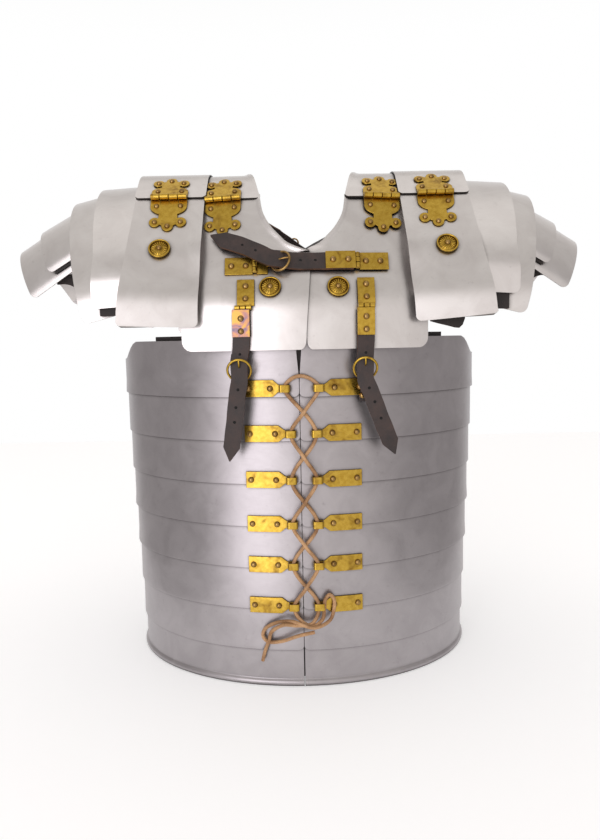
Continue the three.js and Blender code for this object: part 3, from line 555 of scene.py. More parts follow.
def make_materials(finish):
    # One steel in two copies: the upper plates' is painted paler, as painted light, and the hoops' is painted
    # darker, as painted shade, and is a little rougher
    satin_steel("satin_ground_steel", "#dad6d4", "#d0cbc9", "#a09a98", 0.3, 0.005)
    satin_steel("dulled_hoop_steel", "#b0abad", "#a5a0a2", "#7b7675", 0.34, 0.0035)
    # The plates' cut edges are darker than their faces, as a painted shade line along each edge
    satin_steel("cut_steel_edge", "#77726f", "#6a6562", "#4f4a48", 0.42, 0.0035)
    sheet_brass("polished_sheet_brass", "#c4a246", "#b18e36", "#6f4c22", finish.tarnish)
    sheet_brass("cast_rivet_brass", "#ac8c58", "#8f7040", "#5a4222", finish.tarnish)
    heated_brass("flame_coloured_brass")
    strap_leather("dark_strap_leather", "#2a2120", "#40312d", 0.5)
    strap_leather("cut_leather_edge", "#3c2519", "#6b452b", 0.6)
    strap_leather("inner_leather", "#1b1514", "#2c2422", 0.6)
    strap_leather("punched_hole_shadow", "#060505", "#0d0b0a", 0.8)
    thong_leather("tan_leather_thong", "#c39a70", "#8a6340")


# Geometry Nodes

def point_tree(name, inputs):
    """A tree that takes points and some sizes, and the sockets that they come in by."""
    tree = bpy.data.node_groups.new(name, "GeometryNodeTree")
    for key, kind in (("Points", "Geometry"),) + inputs:
        tree.interface.new_socket(key, in_out="INPUT", socket_type="NodeSocket" + kind)
    tree.interface.new_socket("Mesh", in_out="OUTPUT", socket_type="NodeSocketGeometry")
    return tree, node(tree, "NodeGroupInput").outputs


def set_over_points(tree, points, shape, brass):
    """Ends a tree: sets a shape on each point, facing and sized as the point's attributes say."""
    facing = node(tree, "GeometryNodeInputNamedAttribute", {"Name": "facing"}, data_type="FLOAT_VECTOR")
    size = node(tree, "GeometryNodeInputNamedAttribute", {"Name": "size"}, data_type="FLOAT")
    turn = node(tree, "FunctionNodeAlignRotationToVector", {"Vector": facing.outputs["Attribute"]}, axis="Z")
    placed = node(tree, "GeometryNodeInstanceOnPoints", {
        "Points": points, "Instance": shape, "Rotation": turn, "Scale": size.outputs["Attribute"]})
    real = node(tree, "GeometryNodeRealizeInstances", {"Geometry": placed})
    finished = node(tree, "GeometryNodeSetMaterial", {"Geometry": real, "Material": brass})
    node(tree, "NodeGroupOutput", {"Mesh": finished})
    return tree


def rivet_tree(brass):
    """Sets a domed rivet on each point, half sunk in the plate."""
    tree, given = point_tree("domed_rivets", (("Diameter", "Float"), ("Height", "Float")))
    ball = node(tree, "GeometryNodeMeshUVSphere", {"Segments": 18, "Rings": 12, "Radius": 0.5})
    squash = node(tree, "ShaderNodeCombineXYZ",
                  {"X": given["Diameter"], "Y": given["Diameter"], "Z": given["Height"]})
    dome = node(tree, "GeometryNodeTransform", {"Geometry": ball.outputs["Mesh"], "Scale": squash})
    return set_over_points(tree, given["Points"],
                           node(tree, "GeometryNodeSetShadeSmooth", {"Geometry": dome}), brass)


def rosette_tree(brass):
    """Sets a rosette on each point: a flat disc with a ring of raised petals inside a rolled rim."""
    tree, given = point_tree("petalled_rosettes", (("Radius", "Float"), ("Petals", "Int")))
    shares = {}
    for name, share in (("rim", 0.91), ("wire", 0.08), ("petal_place", 0.52), ("petal_length", 0.5),
                        ("petal_width", 0.115), ("petal_height", 0.1), ("disc", 0.93), ("disc_height", 0.2)):
        shares[name] = node(tree, "ShaderNodeMath", {0: given["Radius"], 1: share}, operation="MULTIPLY")
    rim_line = node(tree, "GeometryNodeCurvePrimitiveCircle", {"Resolution": 48, "Radius": shares["rim"]})
    wire = node(tree, "GeometryNodeCurvePrimitiveCircle", {"Resolution": 12, "Radius": shares["wire"]})
    rim = node(tree, "GeometryNodeCurveToMesh", {
        "Curve": rim_line.outputs["Curve"], "Profile Curve": wire.outputs["Curve"]})
    raised = node(tree, "GeometryNodeTransform", {"Geometry": rim, "Translation": (0, 0, 0.0011)})
    disc = node(tree, "GeometryNodeMeshCylinder", {
        "Vertices": 48, "Radius": shares["disc"], "Depth": shares["disc_height"]})
    ring = node(tree, "GeometryNodeMeshCircle",
                {"Vertices": given["Petals"], "Radius": shares["petal_place"]})
    ball = node(tree, "GeometryNodeMeshUVSphere", {"Segments": 12, "Rings": 8, "Radius": 0.5})
    long = node(tree, "ShaderNodeCombineXYZ", {
        "X": shares["petal_length"], "Y": shares["petal_width"], "Z": shares["petal_height"]})
    petal = node(tree, "GeometryNodeTransform", {"Geometry": ball.outputs["Mesh"], "Scale": long})
    spot = node(tree, "GeometryNodeInputPosition")
    outward = node(tree, "FunctionNodeAlignRotationToVector", {"Vector": spot}, axis="X", pivot_axis="Z")
    petals = node(tree, "GeometryNodeInstanceOnPoints",
                  {"Points": ring, "Instance": petal, "Rotation": outward})
    lifted = node(tree, "GeometryNodeTransform", {"Geometry": petals, "Translation": (0, 0, 0.0011)})
    whole = node(tree, "GeometryNodeJoinGeometry")
    for part in (raised, disc, lifted):
        tree.links.new(part.outputs[0], whole.inputs[0])
    softened = node(tree, "GeometryNodeSetShadeSmooth", {"Geometry": node(
        tree, "GeometryNodeRealizeInstances", {"Geometry": whole})})
    return set_over_points(tree, given["Points"], softened, brass)


def set_on_points(name, marks, tree, inputs):
    """Runs a tree over points of (place in mm, facing, size), and keeps the result as a plain mesh."""
    mesh = bpy.data.meshes.new(name)
    mesh.from_pydata([tuple(place * MM) for place, _, _ in marks], [], [])
    mesh.attributes.new("facing", "FLOAT_VECTOR", "POINT")
    mesh.attributes.new("size", "FLOAT", "POINT")
    mesh.attributes["facing"].data.foreach_set("vector", [c for _, facing, _ in marks for c in facing])
    mesh.attributes["size"].data.foreach_set("value", [size for _, _, size in marks])
    made = linked(name, mesh)
    setting = made.modifiers.new(name, "NODES")
    setting.node_group = tree
    keys = {item.name: item.identifier for item in tree.interface.items_tree if item.in_out == "INPUT"}
    for key, value in inputs.items():
        setting[keys[key]] = value
    return baked(made)


def rivet(matrix, x, y, up=0.0, size=1.0):
    """Notes a rivet at a place on a plate, to be made with all the others."""
    RIVETS.append((matrix @ Vector((x, y, up)), (matrix.to_3x3() @ Vector((0, 0, 1))).normalized(), size))


# The camera, and the lace that it looks at

LACE_ROUTE = [
    # x from the girth's middle, how far it stands off the hoops, height
    (-39.5, 2.8, 26), (-37, 3, 36), (-33, 4.5, 47), (-30, 9, 58), (-19, 11, 65.5), (-6, 7.5, 63.5),
    (8, 6.5, 65), (14.2, 4.4, 82), (-8.6, 4.2, 120), (14.4, 4.2, 159), (-8.6, 4.2, 200.5), (14.4, 4.2, 243),
    (-13.3, 4, 284), (-8.5, 3.6, 291.5), (1, 3.2, 295), (12, 3.6, 291), (17.2, 4, 284),
    (4, 8.2, 263.5), (-8.6, 4.2, 243), (2.9, 8.2, 222), (14.4, 4.2, 200.5), (2.9, 8.2, 180), (-8.6, 4.2, 159),
    (2.9, 8.2, 139.5), (14.4, 4.2, 120), (2.9, 8.2, 100), (-8.6, 4.2, 80.5), (-4, 5, 69),
    (8, 7.5, 62.5), (17.5, 7, 69), (19.3, 5.2, 79), (20.3, 4.6, 87), (24.3, 4.2, 91.3), (28.2, 4, 87),
    (28.3, 4.2, 78), (24.5, 6, 67.5), (10, 11, 62.5),
    (-12, 7, 67.5), (-27, 4.5, 64.5), (-36.5, 3.5, 58), (-38.6, 3.3, 51), (-34, 3.5, 45.8), (-22, 4.4, 46.5),
    (-5, 6.5, 53), (10, 6, 56),
]


def lace_point(x, proud, height):
    depth = GIRTH_DEPTH - STEP / HOOP_PITCH * (hoop_bottom(1) - height) + proud
    turn = math.asin(x / (GIRTH_WIDTH + proud))
    return Vector((x + GIRTH_X, -depth * math.cos(turn), height))


def centripetal(points, per_span):
    """A smooth line through points that doesn't loop or overshoot where they lie unevenly."""
    ends = [2 * points[0] - points[1]] + points + [2 * points[-1] - points[-2]]
    line = []
    for k in range(len(points) - 1):
        a, b, c, d = ends[k:k + 4]
        t1 = (b - a).length ** 0.5
        t2 = t1 + (c - b).length ** 0.5
        t3 = t2 + (d - c).length ** 0.5
        for t in (mix(t1, t2, n / per_span) for n in range(per_span)):
            ab = a * (t1 - t) / t1 + b * t / t1
            bc = b * (t2 - t) / (t2 - t1) + c * (t - t1) / (t2 - t1)
            cd = c * (t3 - t) / (t3 - t2) + d * (t - t2) / (t3 - t2)
            abc = ab * (t2 - t) / t2 + bc * t / t2
            bcd = bc * (t3 - t) / (t3 - t1) + cd * (t - t1) / (t3 - t1)
            line.append(abc * (t2 - t) / (t2 - t1) + bcd * (t - t1) / (t2 - t1))
    return line + [points[-1]]


class CUIRASS_PG_sizes(bpy.types.PropertyGroup):
    """The sizes that a maker of such a cuirass would choose."""
    plate_edge: bpy.props.FloatProperty(
        name="Plate edge", description="How far the edges of the steel plates are eased, in millimetres",
        default=0.32, min=0.05, max=0.5)
    rivet_diameter: bpy.props.FloatProperty(
        name="Rivet diameter", description="Width of a rivet's domed head",
        default=0.0056, min=0.003, max=0.008, unit="LENGTH", subtype="DISTANCE")
    rivet_height: bpy.props.FloatProperty(
        name="Rivet height", description="Height of a whole rivet dome, half of which is sunk in the plate",
        default=0.0048, min=0.002, max=0.006, unit="LENGTH", subtype="DISTANCE")
    lace_diameter: bpy.props.FloatProperty(
        name="Lace diameter", description="Thickness of the thong that laces the hoops together",
        default=0.0034, min=0.002, max=0.004, unit="LENGTH", subtype="DISTANCE")
    rosette_radius: bpy.props.FloatProperty(
        name="Rosette radius", description="Radius of the rosettes on the breastplates and guards",
        default=0.0099, min=0.008, max=0.012, unit="LENGTH", subtype="DISTANCE")
    petals: bpy.props.IntProperty(
        name="Petals", description="Petals round each rosette", default=20, min=8, max=32)


class CUIRASS_PG_finish(bpy.types.PropertyGroup):
    """How worn the finishes are, and the studio they stand in."""
    tarnish: bpy.props.FloatProperty(
        name="Tarnish", description="How much of the brass has gone brown", default=0.5, min=0, max=1,
        subtype="FACTOR")
    paper: bpy.props.FloatVectorProperty(
        name="Paper", description="Colour of the paper that the cuirass stands on",
        default=(0.86, 0.86, 0.87, 1.0), size=4, min=0, max=1, subtype="COLOR")
    key_light: bpy.props.FloatProperty(
        name="Key light", description="Power of the soft light at the front left", default=18.0, min=0,
        unit="POWER")


class CUIRASS_OT_camera(bpy.types.Operator):
    """Sets up the camera at the height and distance that the cuirass is looked at from"""
    bl_idname = "cuirass.camera"
    bl_label = "Camera"

    def execute(self, context):
        lens = bpy.data.cameras.new("camera")
        lens.lens, lens.sensor_width, lens.clip_start = 30.67, 36, 0.02
        tilt, roll = math.radians(83.6), math.radians(-1.11)
        seen_from = linked("camera", lens)
        seen_from.matrix_world = (Matrix.Translation((-0.006, -0.786, 0.3268)) @ Matrix.Rotation(tilt, 4, "X")
                                  @ Matrix.Rotation(roll, 4, "Z"))
        context.scene.camera = seen_from
        return {"FINISHED"}


class CUIRASS_OT_lace(bpy.types.Operator):
    """Runs the thong through the tie loops and ties it at the bottom"""
    bl_idname = "cuirass.lace"
    bl_label = "Lace"

    def execute(self, context):
        line = centripetal([lace_point(*row) for row in LACE_ROUTE], 12)
        curve = bpy.data.curves.new("lace_thong", "CURVE")
        curve.dimensions = "3D"
        curve.bevel_depth = context.scene.cuirass_sizes.lace_diameter / 2
        curve.bevel_resolution = 4
        curve.use_fill_caps = True
        spline = curve.splines.new("POLY")
        spline.points.add(len(line) - 1)
        for point, place in zip(spline.points, line):
            point.co = (*(place * MM), 1)
        curve.materials.append(bpy.data.materials["tan_leather_thong"])
        thong = linked("lace_thong", curve)
        settle(thong, "lace", "lace")
        length = sum((b - a).length for a, b in zip(line, line[1:])) * MM
        return {"FINISHED"}


# Plates

def hoop_rows(number, side):
    """Points on a hoop's outer face, from the front seam round to the back seam."""
    seam = math.asin(0.2 / (GIRTH_WIDTH - STEP * (number - 1)))
    depth = GIRTH_DEPTH - STEP * (number - 1)
    arcs = corner_steps(4, 5)
    turns = [seam + a / depth for a in arcs] + spread(64, seam + 6 / depth, math.pi - seam - 6 / depth)
    turns += [math.pi - seam - a / depth for a in reversed(arcs)]
    top, bottom = (hoop_bottom(number - 1) if number > 1
                   else hoop_bottom(1) + FIRST_HOOP_RISE) + HOOP_LAP, hoop_bottom(number)
    rows = []
    for turn in turns:
        from_arm = abs(turn - math.pi / 2) * depth
        dip = ARM_DIP * (1 - smooth(40, 80, from_arm)) if number == 1 else 0
        inset = corner_inset(min(turn - seam, math.pi - seam - turn) * depth, 4)
        wander = 0.25 * math.sin(turn * 5 + number * 1.7) + 0.15 * math.sin(turn * 11 + number)
        low, high = bottom + inset, top - dip - inset
        heights = [low, low + 1, low + 4, low + 9, low + 14] + spread(4, low + 18, high - 3) + [high]
        # The first hoop's halves spread a little towards the top of the front seam
        spreads = SEAM_SPREAD / depth * (1 - smooth(0, 0.2, turn)) if number == 1 else 0
        rows.append([hoop_point(number, side, turn + spreads * smooth(288, 324, z), z,
                                (0.35 + wander) * (1 - smooth(0, 14, z - bottom))) for z in heights])
    return rows


def rimmed_hoop(name, side):
    """The lowest hoop, whose bottom edge is turned out into a rolled rim."""
    seam = math.asin(0.5 / (GIRTH_WIDTH - STEP * 7))
    section = [(0, 46), (0, 7.2), (0.35, 6.4), (1.1, 5.6), (1.8, 4.7), (2.25, 3.4), (2.3, 2.0), (1.9, 0.8),
               (1.1, 0.15), (0.2, 0.0), (-0.6, 0.2), (-1.1, 0.7), (-1.2, 1.4), (-1.2, 46)]
    turns, size = spread(84, seam, math.pi - seam), len(section)
    points = [hoop_point(8, side, turn, z, proud) for turn in turns for proud, z in section]
    faces = grid_faces(len(turns), size, False, True)
    faces += [tuple(range(size)), tuple(range((len(turns) - 1) * size, len(turns) * size))]
    return eased(new_object(name, points, faces, SHADED_HOOP), 0.3, 60)


def steel_plate(name, rows, look, solid):
    """A steel plate from rows of points on its outer face, in place of its solid."""
    settle(sheet(name, rows, PLATE, look, bpy.context.scene.cuirass_sizes.plate_edge), "steel", solid)


class CUIRASS_OT_girth(bpy.types.Operator):
    """Makes the lapping half hoops that go round the waist"""
    bl_idname = "cuirass.girth"
    bl_label = "Girth hoops"

    def execute(self, context):
        for name, side in SIDES.items():
            for number in range(1, 8):
                steel_plate(f"hoop_{number}_{name}", hoop_rows(number, side), SHADED_HOOP,
                            f"girth_hoop_{number}_{name}")
            settle(rimmed_hoop(f"hoop_8_{name}", side), "steel", f"girth_hoop_8_{name}")
        return {"FINISHED"}


NECKLINE = curve_through([(0, -0.16), (0.15, 0.33), (0.3, 0.55), (0.48, 0.76), (0.72, 0.93), (1, 1)], 6)
OVER_NECK = curve_through([(0, 0.67), (0.13, 0.77), (0.3, 0.92), (0.5, 1), (0.75, 0.92), (0.88, 0.74),
                           (1, 0.42), (1.1, 0)], 5)


def outer_side(height):
    return BREAST_WIDTH - (BREAST_WIDTH - COLLAR_OUTER) * smooth(COLLAR_BEND, HINGE_Z, height)


def neck_side(height):
    share = (height - NECK_LOW) / (HINGE_Z - NECK_LOW)
    return NECK_WIDTH * look_up(NECKLINE, share)


def breast_rows(side):
    stations = corner_steps(CORNER) + spread(10, CORNER + 2, COLLAR.to_bend - 1)
    stations += spread(8, COLLAR.to_bend, COLLAR.after_bend)
    neck_start = COLLAR.along(NECK_LOW)
    stations += spread(14, COLLAR.after_bend + 3, neck_start)
    stations += spread(26, neck_start + 0.7, COLLAR.to_hinge) + [COLLAR.to_hinge + 5]
    proud = 0 if side < 0 else -STEP
    bottom, neck = (-1, -6) if side < 0 else (1.5, 1.5)
    rows = []
    for along in stations:
        height = COLLAR.height(along)
        inset = corner_inset(along, CORNER)
        inner = mix(bottom, neck, smooth(COLLAR_BOTTOM, NECK_LOW, height)) + inset * 0.6
        at_neck = height > NECK_LOW and neck_side(height) > inner
        slope = (neck_side(height + 1) - neck_side(height - 1)) / 2
        wider = min(math.sqrt(1 + slope * slope), 4)
        inner = max(inner, neck_side(height)) if height > NECK_LOW else inner
        outer = outer_side(height) - inset
        row = []
        for share in [0, 0.012, 0.025, 0.038, 0.05, 0.063, 0.078] + spread(14, 0.11, 1):
            x = mix(inner, outer, share)
            off = (x - inner) / wider
            flange = 1.7 * (1 - smooth(0.5, 6.0, off)) if at_neck else 0
            row.append(COLLAR.point(side * x, along, proud + flange))
        rows.append(row)
    return rows


def collar_rows(side):
    way = COLLAR.length - 2 * COLLAR.to_hinge
    start = COLLAR.to_hinge - CLEAR
    stations = [start + c for c in corner_steps(4, 5)] + spread(44, start + 5,
                                                                COLLAR.length - COLLAR.after_bend - 1)
    stations += [COLLAR.length - d for d in spread(8, COLLAR.after_bend, COLLAR.to_bend)]
    stations += spread(6, COLLAR.length - COLLAR.to_bend + 1, COLLAR.length - CORNER - 1)
    stations += [COLLAR.length - c for c in reversed(corner_steps(CORNER))]
    rows = []
    for along in stations:
        share = (along - COLLAR.to_hinge) / way
        front, back = corner_inset(along - start, 4), corner_inset(COLLAR.length - along, CORNER)
        inner = max(NECK_RIDGE * look_up(OVER_NECK, share), 0.5) + front + back
        inner += NECK_BACK * smooth(0.45, 0.6, share) * smooth(1.1, 1, share)
        outer = (COLLAR_OUTER if share < 0.5 else outer_side(COLLAR.height(along))) - front - back
        row = []
        for across in [0, 0.03, 0.06, 0.09, 0.12, 0.16] + spread(10, 0.22, 1):
            x = mix(inner, outer, across)
            flange = 1.5 * (1 - smooth(0.4, 5.5, x - inner)) * smooth(0.04, 0.12,
                                                                      share) * smooth(1.02, 0.9, share)
            row.append(COLLAR.point(side * x, along, STEP + flange))
        rows.append(row)
    return rows


class CUIRASS_OT_collar(bpy.types.Operator):
    """Makes the breastplates and the plates that go over the shoulders beside the neck"""
    bl_idname = "cuirass.collar"
    bl_label = "Breastplates and collar"

    def execute(self, context):
        for name, side in SIDES.items():
            steel_plate(f"breast_{name}", breast_rows(side), SATIN, f"breastplate_{name}")
            steel_plate(f"collar_{name}", collar_rows(side), SATIN, f"collar_top_{name}")
        return {"FINISHED"}


def guard_turn(across, up):
    """How far the front guard is turned in towards the breast, most at its lower inner corner."""
    return GUARD_TURN * (1 - across) * (1 - smooth(0.3, 0.62, up))


def guard_front_rows(side):
    stations = corner_steps(GUARD_CORNER) + spread(5, GUARD_CORNER + 2, GUARD.to_bend - 1)
    stations += spread(8, GUARD.to_bend, GUARD.after_bend) + spread(22, GUARD.after_bend + 2, GUARD.to_hinge)
    inner_up, outer_up, splay = GUARD_ENDS[side]
    rows = []
    for along in stations + [GUARD.to_hinge + 5]:
        inset = corner_inset(along, GUARD_CORNER)
        share = min(along / GUARD.to_hinge, 1)
        inner = mix(GUARD_LOW[0] + splay, GUARD_TOP[0] + 1, share) + inset
        outer = mix(GUARD_LOW[1] + splay, GUARD_TOP[1] - 1, share) - inset
        fade = 1 - smooth(0, GUARD.to_bend, along)
        rows.append([GUARD.point(side * mix(inner, outer, k), along + mix(inner_up, outer_up, k) * fade,
                                 -guard_turn(k, share)) for k in spread(14, 0, 1)])
    return rows


def guard_top_rows(side):
    start = GUARD.to_hinge - CLEAR
    stations = [start + c for c in corner_steps(4, 5)] + spread(50, start + 5,
                                                                GUARD.length - GUARD.after_bend - 1)
    stations += [GUARD.length - d for d in spread(8, GUARD.after_bend, GUARD.to_bend)]
    stations += spread(4, GUARD.length - GUARD.to_bend + 1, GUARD.length - GUARD_CORNER - 1)
    stations += [GUARD.length - c for c in reversed(corner_steps(GUARD_CORNER))]
    rows = []
    for along in stations:
        inset = corner_inset(along - start, 4) + corner_inset(GUARD.length - along, GUARD_CORNER)
        share = min(max((GUARD.length - along) / GUARD.to_hinge, 0), 1)
        inner, outer = mix(GUARD_LOW[0], GUARD_TOP[0], share), mix(GUARD_LOW[1], GUARD_TOP[1], share)
        rows.append([GUARD.point(side * x, along, STEP) for x in spread(12, inner + inset, outer - inset)])
    return rows


def arch_points(ridge_z, end_y, end_z, rise):
    """A lesser guard's outer edge as points of depth and height, with how far along it each one lies."""
    start = end_z + rise
    shoulder = start + (ridge_z - start) * 0.2
    over = ((-end_y, start), (-end_y, shoulder), (-end_y * 0.55, ridge_z), (0, ridge_z))
    line = [(-end_y, end_z)] + [bezier(over, t) for t in spread(40, 0, 1)]
    line += [(-y, z) for y, z in reversed(line[:-1])]
    return line, lengths_along(line)


def lesser_rows(row, side):
    ridge_x, ridge_z, end_x, end_y, end_z, steepness, push, lift, rise, width, tilt = row
    end_z, push = (end_z + lift, 0) if side > 0 else (end_z, push)
    line, lengths = arch_points(ridge_z, end_y, end_z, rise)
    ys = [(length, y) for length, (y, _) in zip(lengths, line)]
    zs = [(length, z) for length, (_, z) in zip(lengths, line)]
    whole, corner, lean = lengths[-1], CORNER * 0.7, math.radians(tilt)
    ends = corner_steps(corner, 6)
    rows = []
    for along in ends + spread(60, corner + 2, whole - corner - 2) + [whole - e for e in reversed(ends)]:
        y, z = look_up(ys, along), look_up(zs, along)
        outer = mix(ridge_x, end_x, min(1, (ridge_z - z) / (ridge_z - end_z) * steepness)) + push
        inset = corner_inset(min(along, whole - along), corner)
        # The two outer guards turn away towards the arm
        away = OUTER_TURN * y / end_y if tilt > 20 else 0
        rows.append([Vector((side * (outer - a * math.cos(lean)), y - away * (1 - a / width),
                             z + a * math.sin(lean)))
                     for a in spread(8, inset, width - inset)])
    return rows


class CUIRASS_OT_guards(bpy.types.Operator):
    """Makes the shoulder guards and the lesser guards that step down over the arms"""
    bl_idname = "cuirass.guards"
    bl_label = "Shoulder guards"

    def execute(self, context):
        for name, side in SIDES.items():
            steel_plate(f"guard_face_{name}", guard_front_rows(side), SATIN, f"guard_front_{name}")
            steel_plate(f"guard_over_{name}", guard_top_rows(side), SATIN, f"guard_top_{name}")
            for number, row in enumerate(LESSER_GUARDS, 1):
                steel_plate(f"lesser_guard_{number}_{name}", lesser_rows(row, side), SATIN,
                      f"guard_{number}_{name}")
        return {"FINISHED"}


# Brass fittings

def arc(x, y, radius, start, end, count=10):
    return [(x + radius * math.cos(math.radians(t)), y + radius * math.sin(math.radians(t)))
            for t in spread(count, start, end)]


def leaf_outline(share):
    """One leaf of a lobed hinge: square at the knuckle, waisted, with three lobes at its far end."""
    half = LEAF_WIDTH / 2
    length = LEAF_LENGTH * share
    waist = [(half, length * 0.28), (half, length * 0.46), (half * 0.5, length * 0.56)]
    flank = [bezier(waist, t) for t in spread(8, 0, 1)]
    right = [(half, 0)] + flank + arc(half * 0.7, length * 0.85, LOBE, -125, 150, 16)
    tip = arc(0, length, LOBE, -10, 190, 14)
    return right + tip + [(-x, y) for x, y in reversed(right)]


def bar(name, matrix, length, radius, material_name):
    """A short round bar along a placing's X, with eased ends."""
    ease = 0.35
    section = [(0, -length / 2), (radius - ease, -length / 2), (radius, -length / 2 + ease),
               (radius, length / 2 - ease), (radius - ease, length / 2), (0, length / 2)]
    made = turned(name, section, matrix @ Matrix.Rotation(math.pi / 2, 4, "Y"), [material_name], 20)
    made.data.set_sharp_from_angle(angle=math.radians(35))
    return made


def knuckles(name, matrix, width, radius, count, material_name, shift=0.25):
    """The rolled knuckles of a hinge, one after another with a hair's gap between them."""
    each = width / count
    parts = []
    for k in range(count):
        offset = Matrix.Translation(((k + 0.5) * each - width / 2, 0, shift * (k % 2)))
        parts.append(bar(f"{name}_{k}", matrix @ offset, each - 0.5, radius, material_name))
    return parts


def lobed_hinge(name, profile, x):
    knuckle_along = profile.to_hinge - 1.4
    brass = "polished_sheet_brass"
    lower_place = profile.frame(x, knuckle_along, CLEAR) @ Matrix.Rotation(math.pi, 4, "Z")
    upper_place = profile.frame(x, profile.to_hinge + 1, STEP + CLEAR)
    parts = [flat_plate("leaf", leaf_outline(1), lower_place, BRASS, [brass]),
             flat_plate("leaf", leaf_outline(0.8), upper_place, BRASS, [brass])]
    parts += knuckles("knuckle", profile.frame(x, knuckle_along, KNUCKLE + STEP), LEAF_WIDTH, KNUCKLE, 4,
                      brass)
    bridge = [[profile.point(x + end * LEAF_WIDTH / 2, along, STEP + CLEAR + BRASS) for end in (-1, 0, 1)]
              for along in (knuckle_along, profile.to_hinge + 1, profile.to_hinge + 3)]
    parts.append(sheet("bridge", bridge, BRASS, [brass], 0.2))
    for place, share in ((lower_place, 1), (upper_place, 0.8)):
        for px, py in ((-11, 8.6), (11, 8.6), (-11.7, 27), (11.7, 27), (0, 31.8)):
            rivet(place, px, py * share, BRASS, 0.86)
    return joined(name, parts)


def fitting_plate(xs, zs, proud, brass="polished_sheet_brass"):
    rows = [[COLLAR.point(x, COLLAR.along(z), proud + BRASS) for x in spread(6, *xs)] for z in spread(6, *zs)]
    return sheet("fitting", rows, BRASS, [brass], 0.2)


def split_barrel(x, height, length, upright):
    place = COLLAR.frame(x, COLLAR.along(height), FITTING_KNUCKLE + CLEAR)
    if upright:
        place = place @ Matrix.Rotation(math.pi / 2, 4, "Z")
    return knuckles("barrel", place, length, FITTING_KNUCKLE, 3, "polished_sheet_brass", 0.2)


def wire_ring(name, matrix, brass="polished_sheet_brass", radius=RING, wire=RING_WIRE):
    line = [matrix @ Vector((radius * math.cos(t), radius * math.sin(t), 0))
            for t in spread(48, 0, 2 * math.pi)[:-1]]
    return tube(name, line, wire, [brass], 12, closed=True)


def tongue(name, matrix, start, end, rise, brass="polished_sheet_brass"):
    """A buckle's tongue: a slim bar from the ring's bar to rest on its far side."""
    line = [matrix @ Vector((mix(start[0], end[0], t), mix(start[1], end[1], t),
                             rise * math.sin(math.pi * t)))
            for t in spread(10, 0, 1)]
    return tube(name, line, 0.85, [brass], 10)


CHEST = {"height": 395, "ring_x": -20.6, "hinge_x": 48, "plate_end": 76, "leather_end": 19.4}
HANGING = {
    "left": {"plate": -51.7, "leather": -56, "ring": -58.6, "tab": -61.5, "tail": [
        (-60.6, 280, 160.4), (-62.8, 262, 161), (-65.2, 245, 160), (-67.2, 233, 158.4), (-69.4, 220, 155.9)]},
    "right": {"plate": 54.5, "leather": 53.5, "ring": 52.4, "tab": 50.4, "tail": [
        (57, 280, 158.8), (63.6, 262, 157.8), (70.4, 245, 155), (74.8, 234, 152.8), (79.2, 223, 150)]},
}
# The hanging straps' hinge barrels and the length of their leaves, and the place of their rings
HANG_BARREL, HANG_LEAF = CHEST["height"] - 40, 25
HANG_HEIGHT, HANG_DEPTH = HANG_BARREL - 54, GIRTH_DEPTH + 7.6
# How far a hinge's leaf ends before the middle of its barrel
BARREL_GAP = 1.8


def strap_sheet(name, line, place):
    """A strap along a smooth line of (across, up, out) rows, square at its start and pointed at its end."""
    tip_length = 13
    line = curve_through(line, 7)
    lengths = lengths_along(line)
    whole = lengths[-1]
    steps = spread(46, 0, whole - tip_length) + spread(8, whole - tip_length, whole)[1:]
    columns = [[(length, row[k]) for length, row in zip(lengths, line)] for k in range(3)]
    rows, middles = [], []
    for along in steps:
        a, b, c = (look_up(column, along) for column in columns)
        ahead, behind = min(along + 1.5, whole), max(along - 1.5, 0)
        way = Vector((look_up(columns[0], ahead) - look_up(columns[0], behind),
                      look_up(columns[1], ahead) - look_up(columns[1], behind))).normalized()
        half = STRAP / 2 * min(1, 0.07 + 0.93 * (whole - along) / tip_length)
        half += 0.12 * math.sin(along * 0.31) if 2 < along < whole - tip_length else 0
        rows.append([place(a - way.y * half * end, b + way.x * half * end, c) for end in spread(6, -1, 1)])
        middles.append(place(a, b, c))
    made = sheet(name, rows, STRAP_THICK, ["dark_strap_leather", "cut_leather_edge"], 0.35)
    return made, middles, steps


def punch(middles, steps, places):
    """Notes punched holes along the middle of a strap."""
    for along in places:
        k = min(range(1, len(steps) - 1), key=lambda n: abs(steps[n] - along))
        before, here, after = middles[k - 1], middles[k], middles[k + 1]
        way = (after - before).normalized()
        out = Vector((0, -1, 0)) - way * way.dot(Vector((0, -1, 0)))
        HOLES.append((here + out.normalized() * 0.02, out.normalized(), 1.0))


class CUIRASS_OT_hinges(bpy.types.Operator):
    """Makes the lobed hinges at the top of the breastplates and guards"""
    bl_idname = "cuirass.hinges"
    bl_label = "Lobed hinges"

    def execute(self, context):
        for name, side in SIDES.items():
            settle(lobed_hinge(f"collar_hinge_{name}", COLLAR, side * COLLAR_HINGE_X), "brass",
                   f"lobed_hinge_collar_{name}")
            settle(lobed_hinge(f"guard_hinge_{name}", GUARD, side * GUARD_HINGE_X), "brass",
                   f"lobed_hinge_guard_{name}")
        return {"FINISHED"}


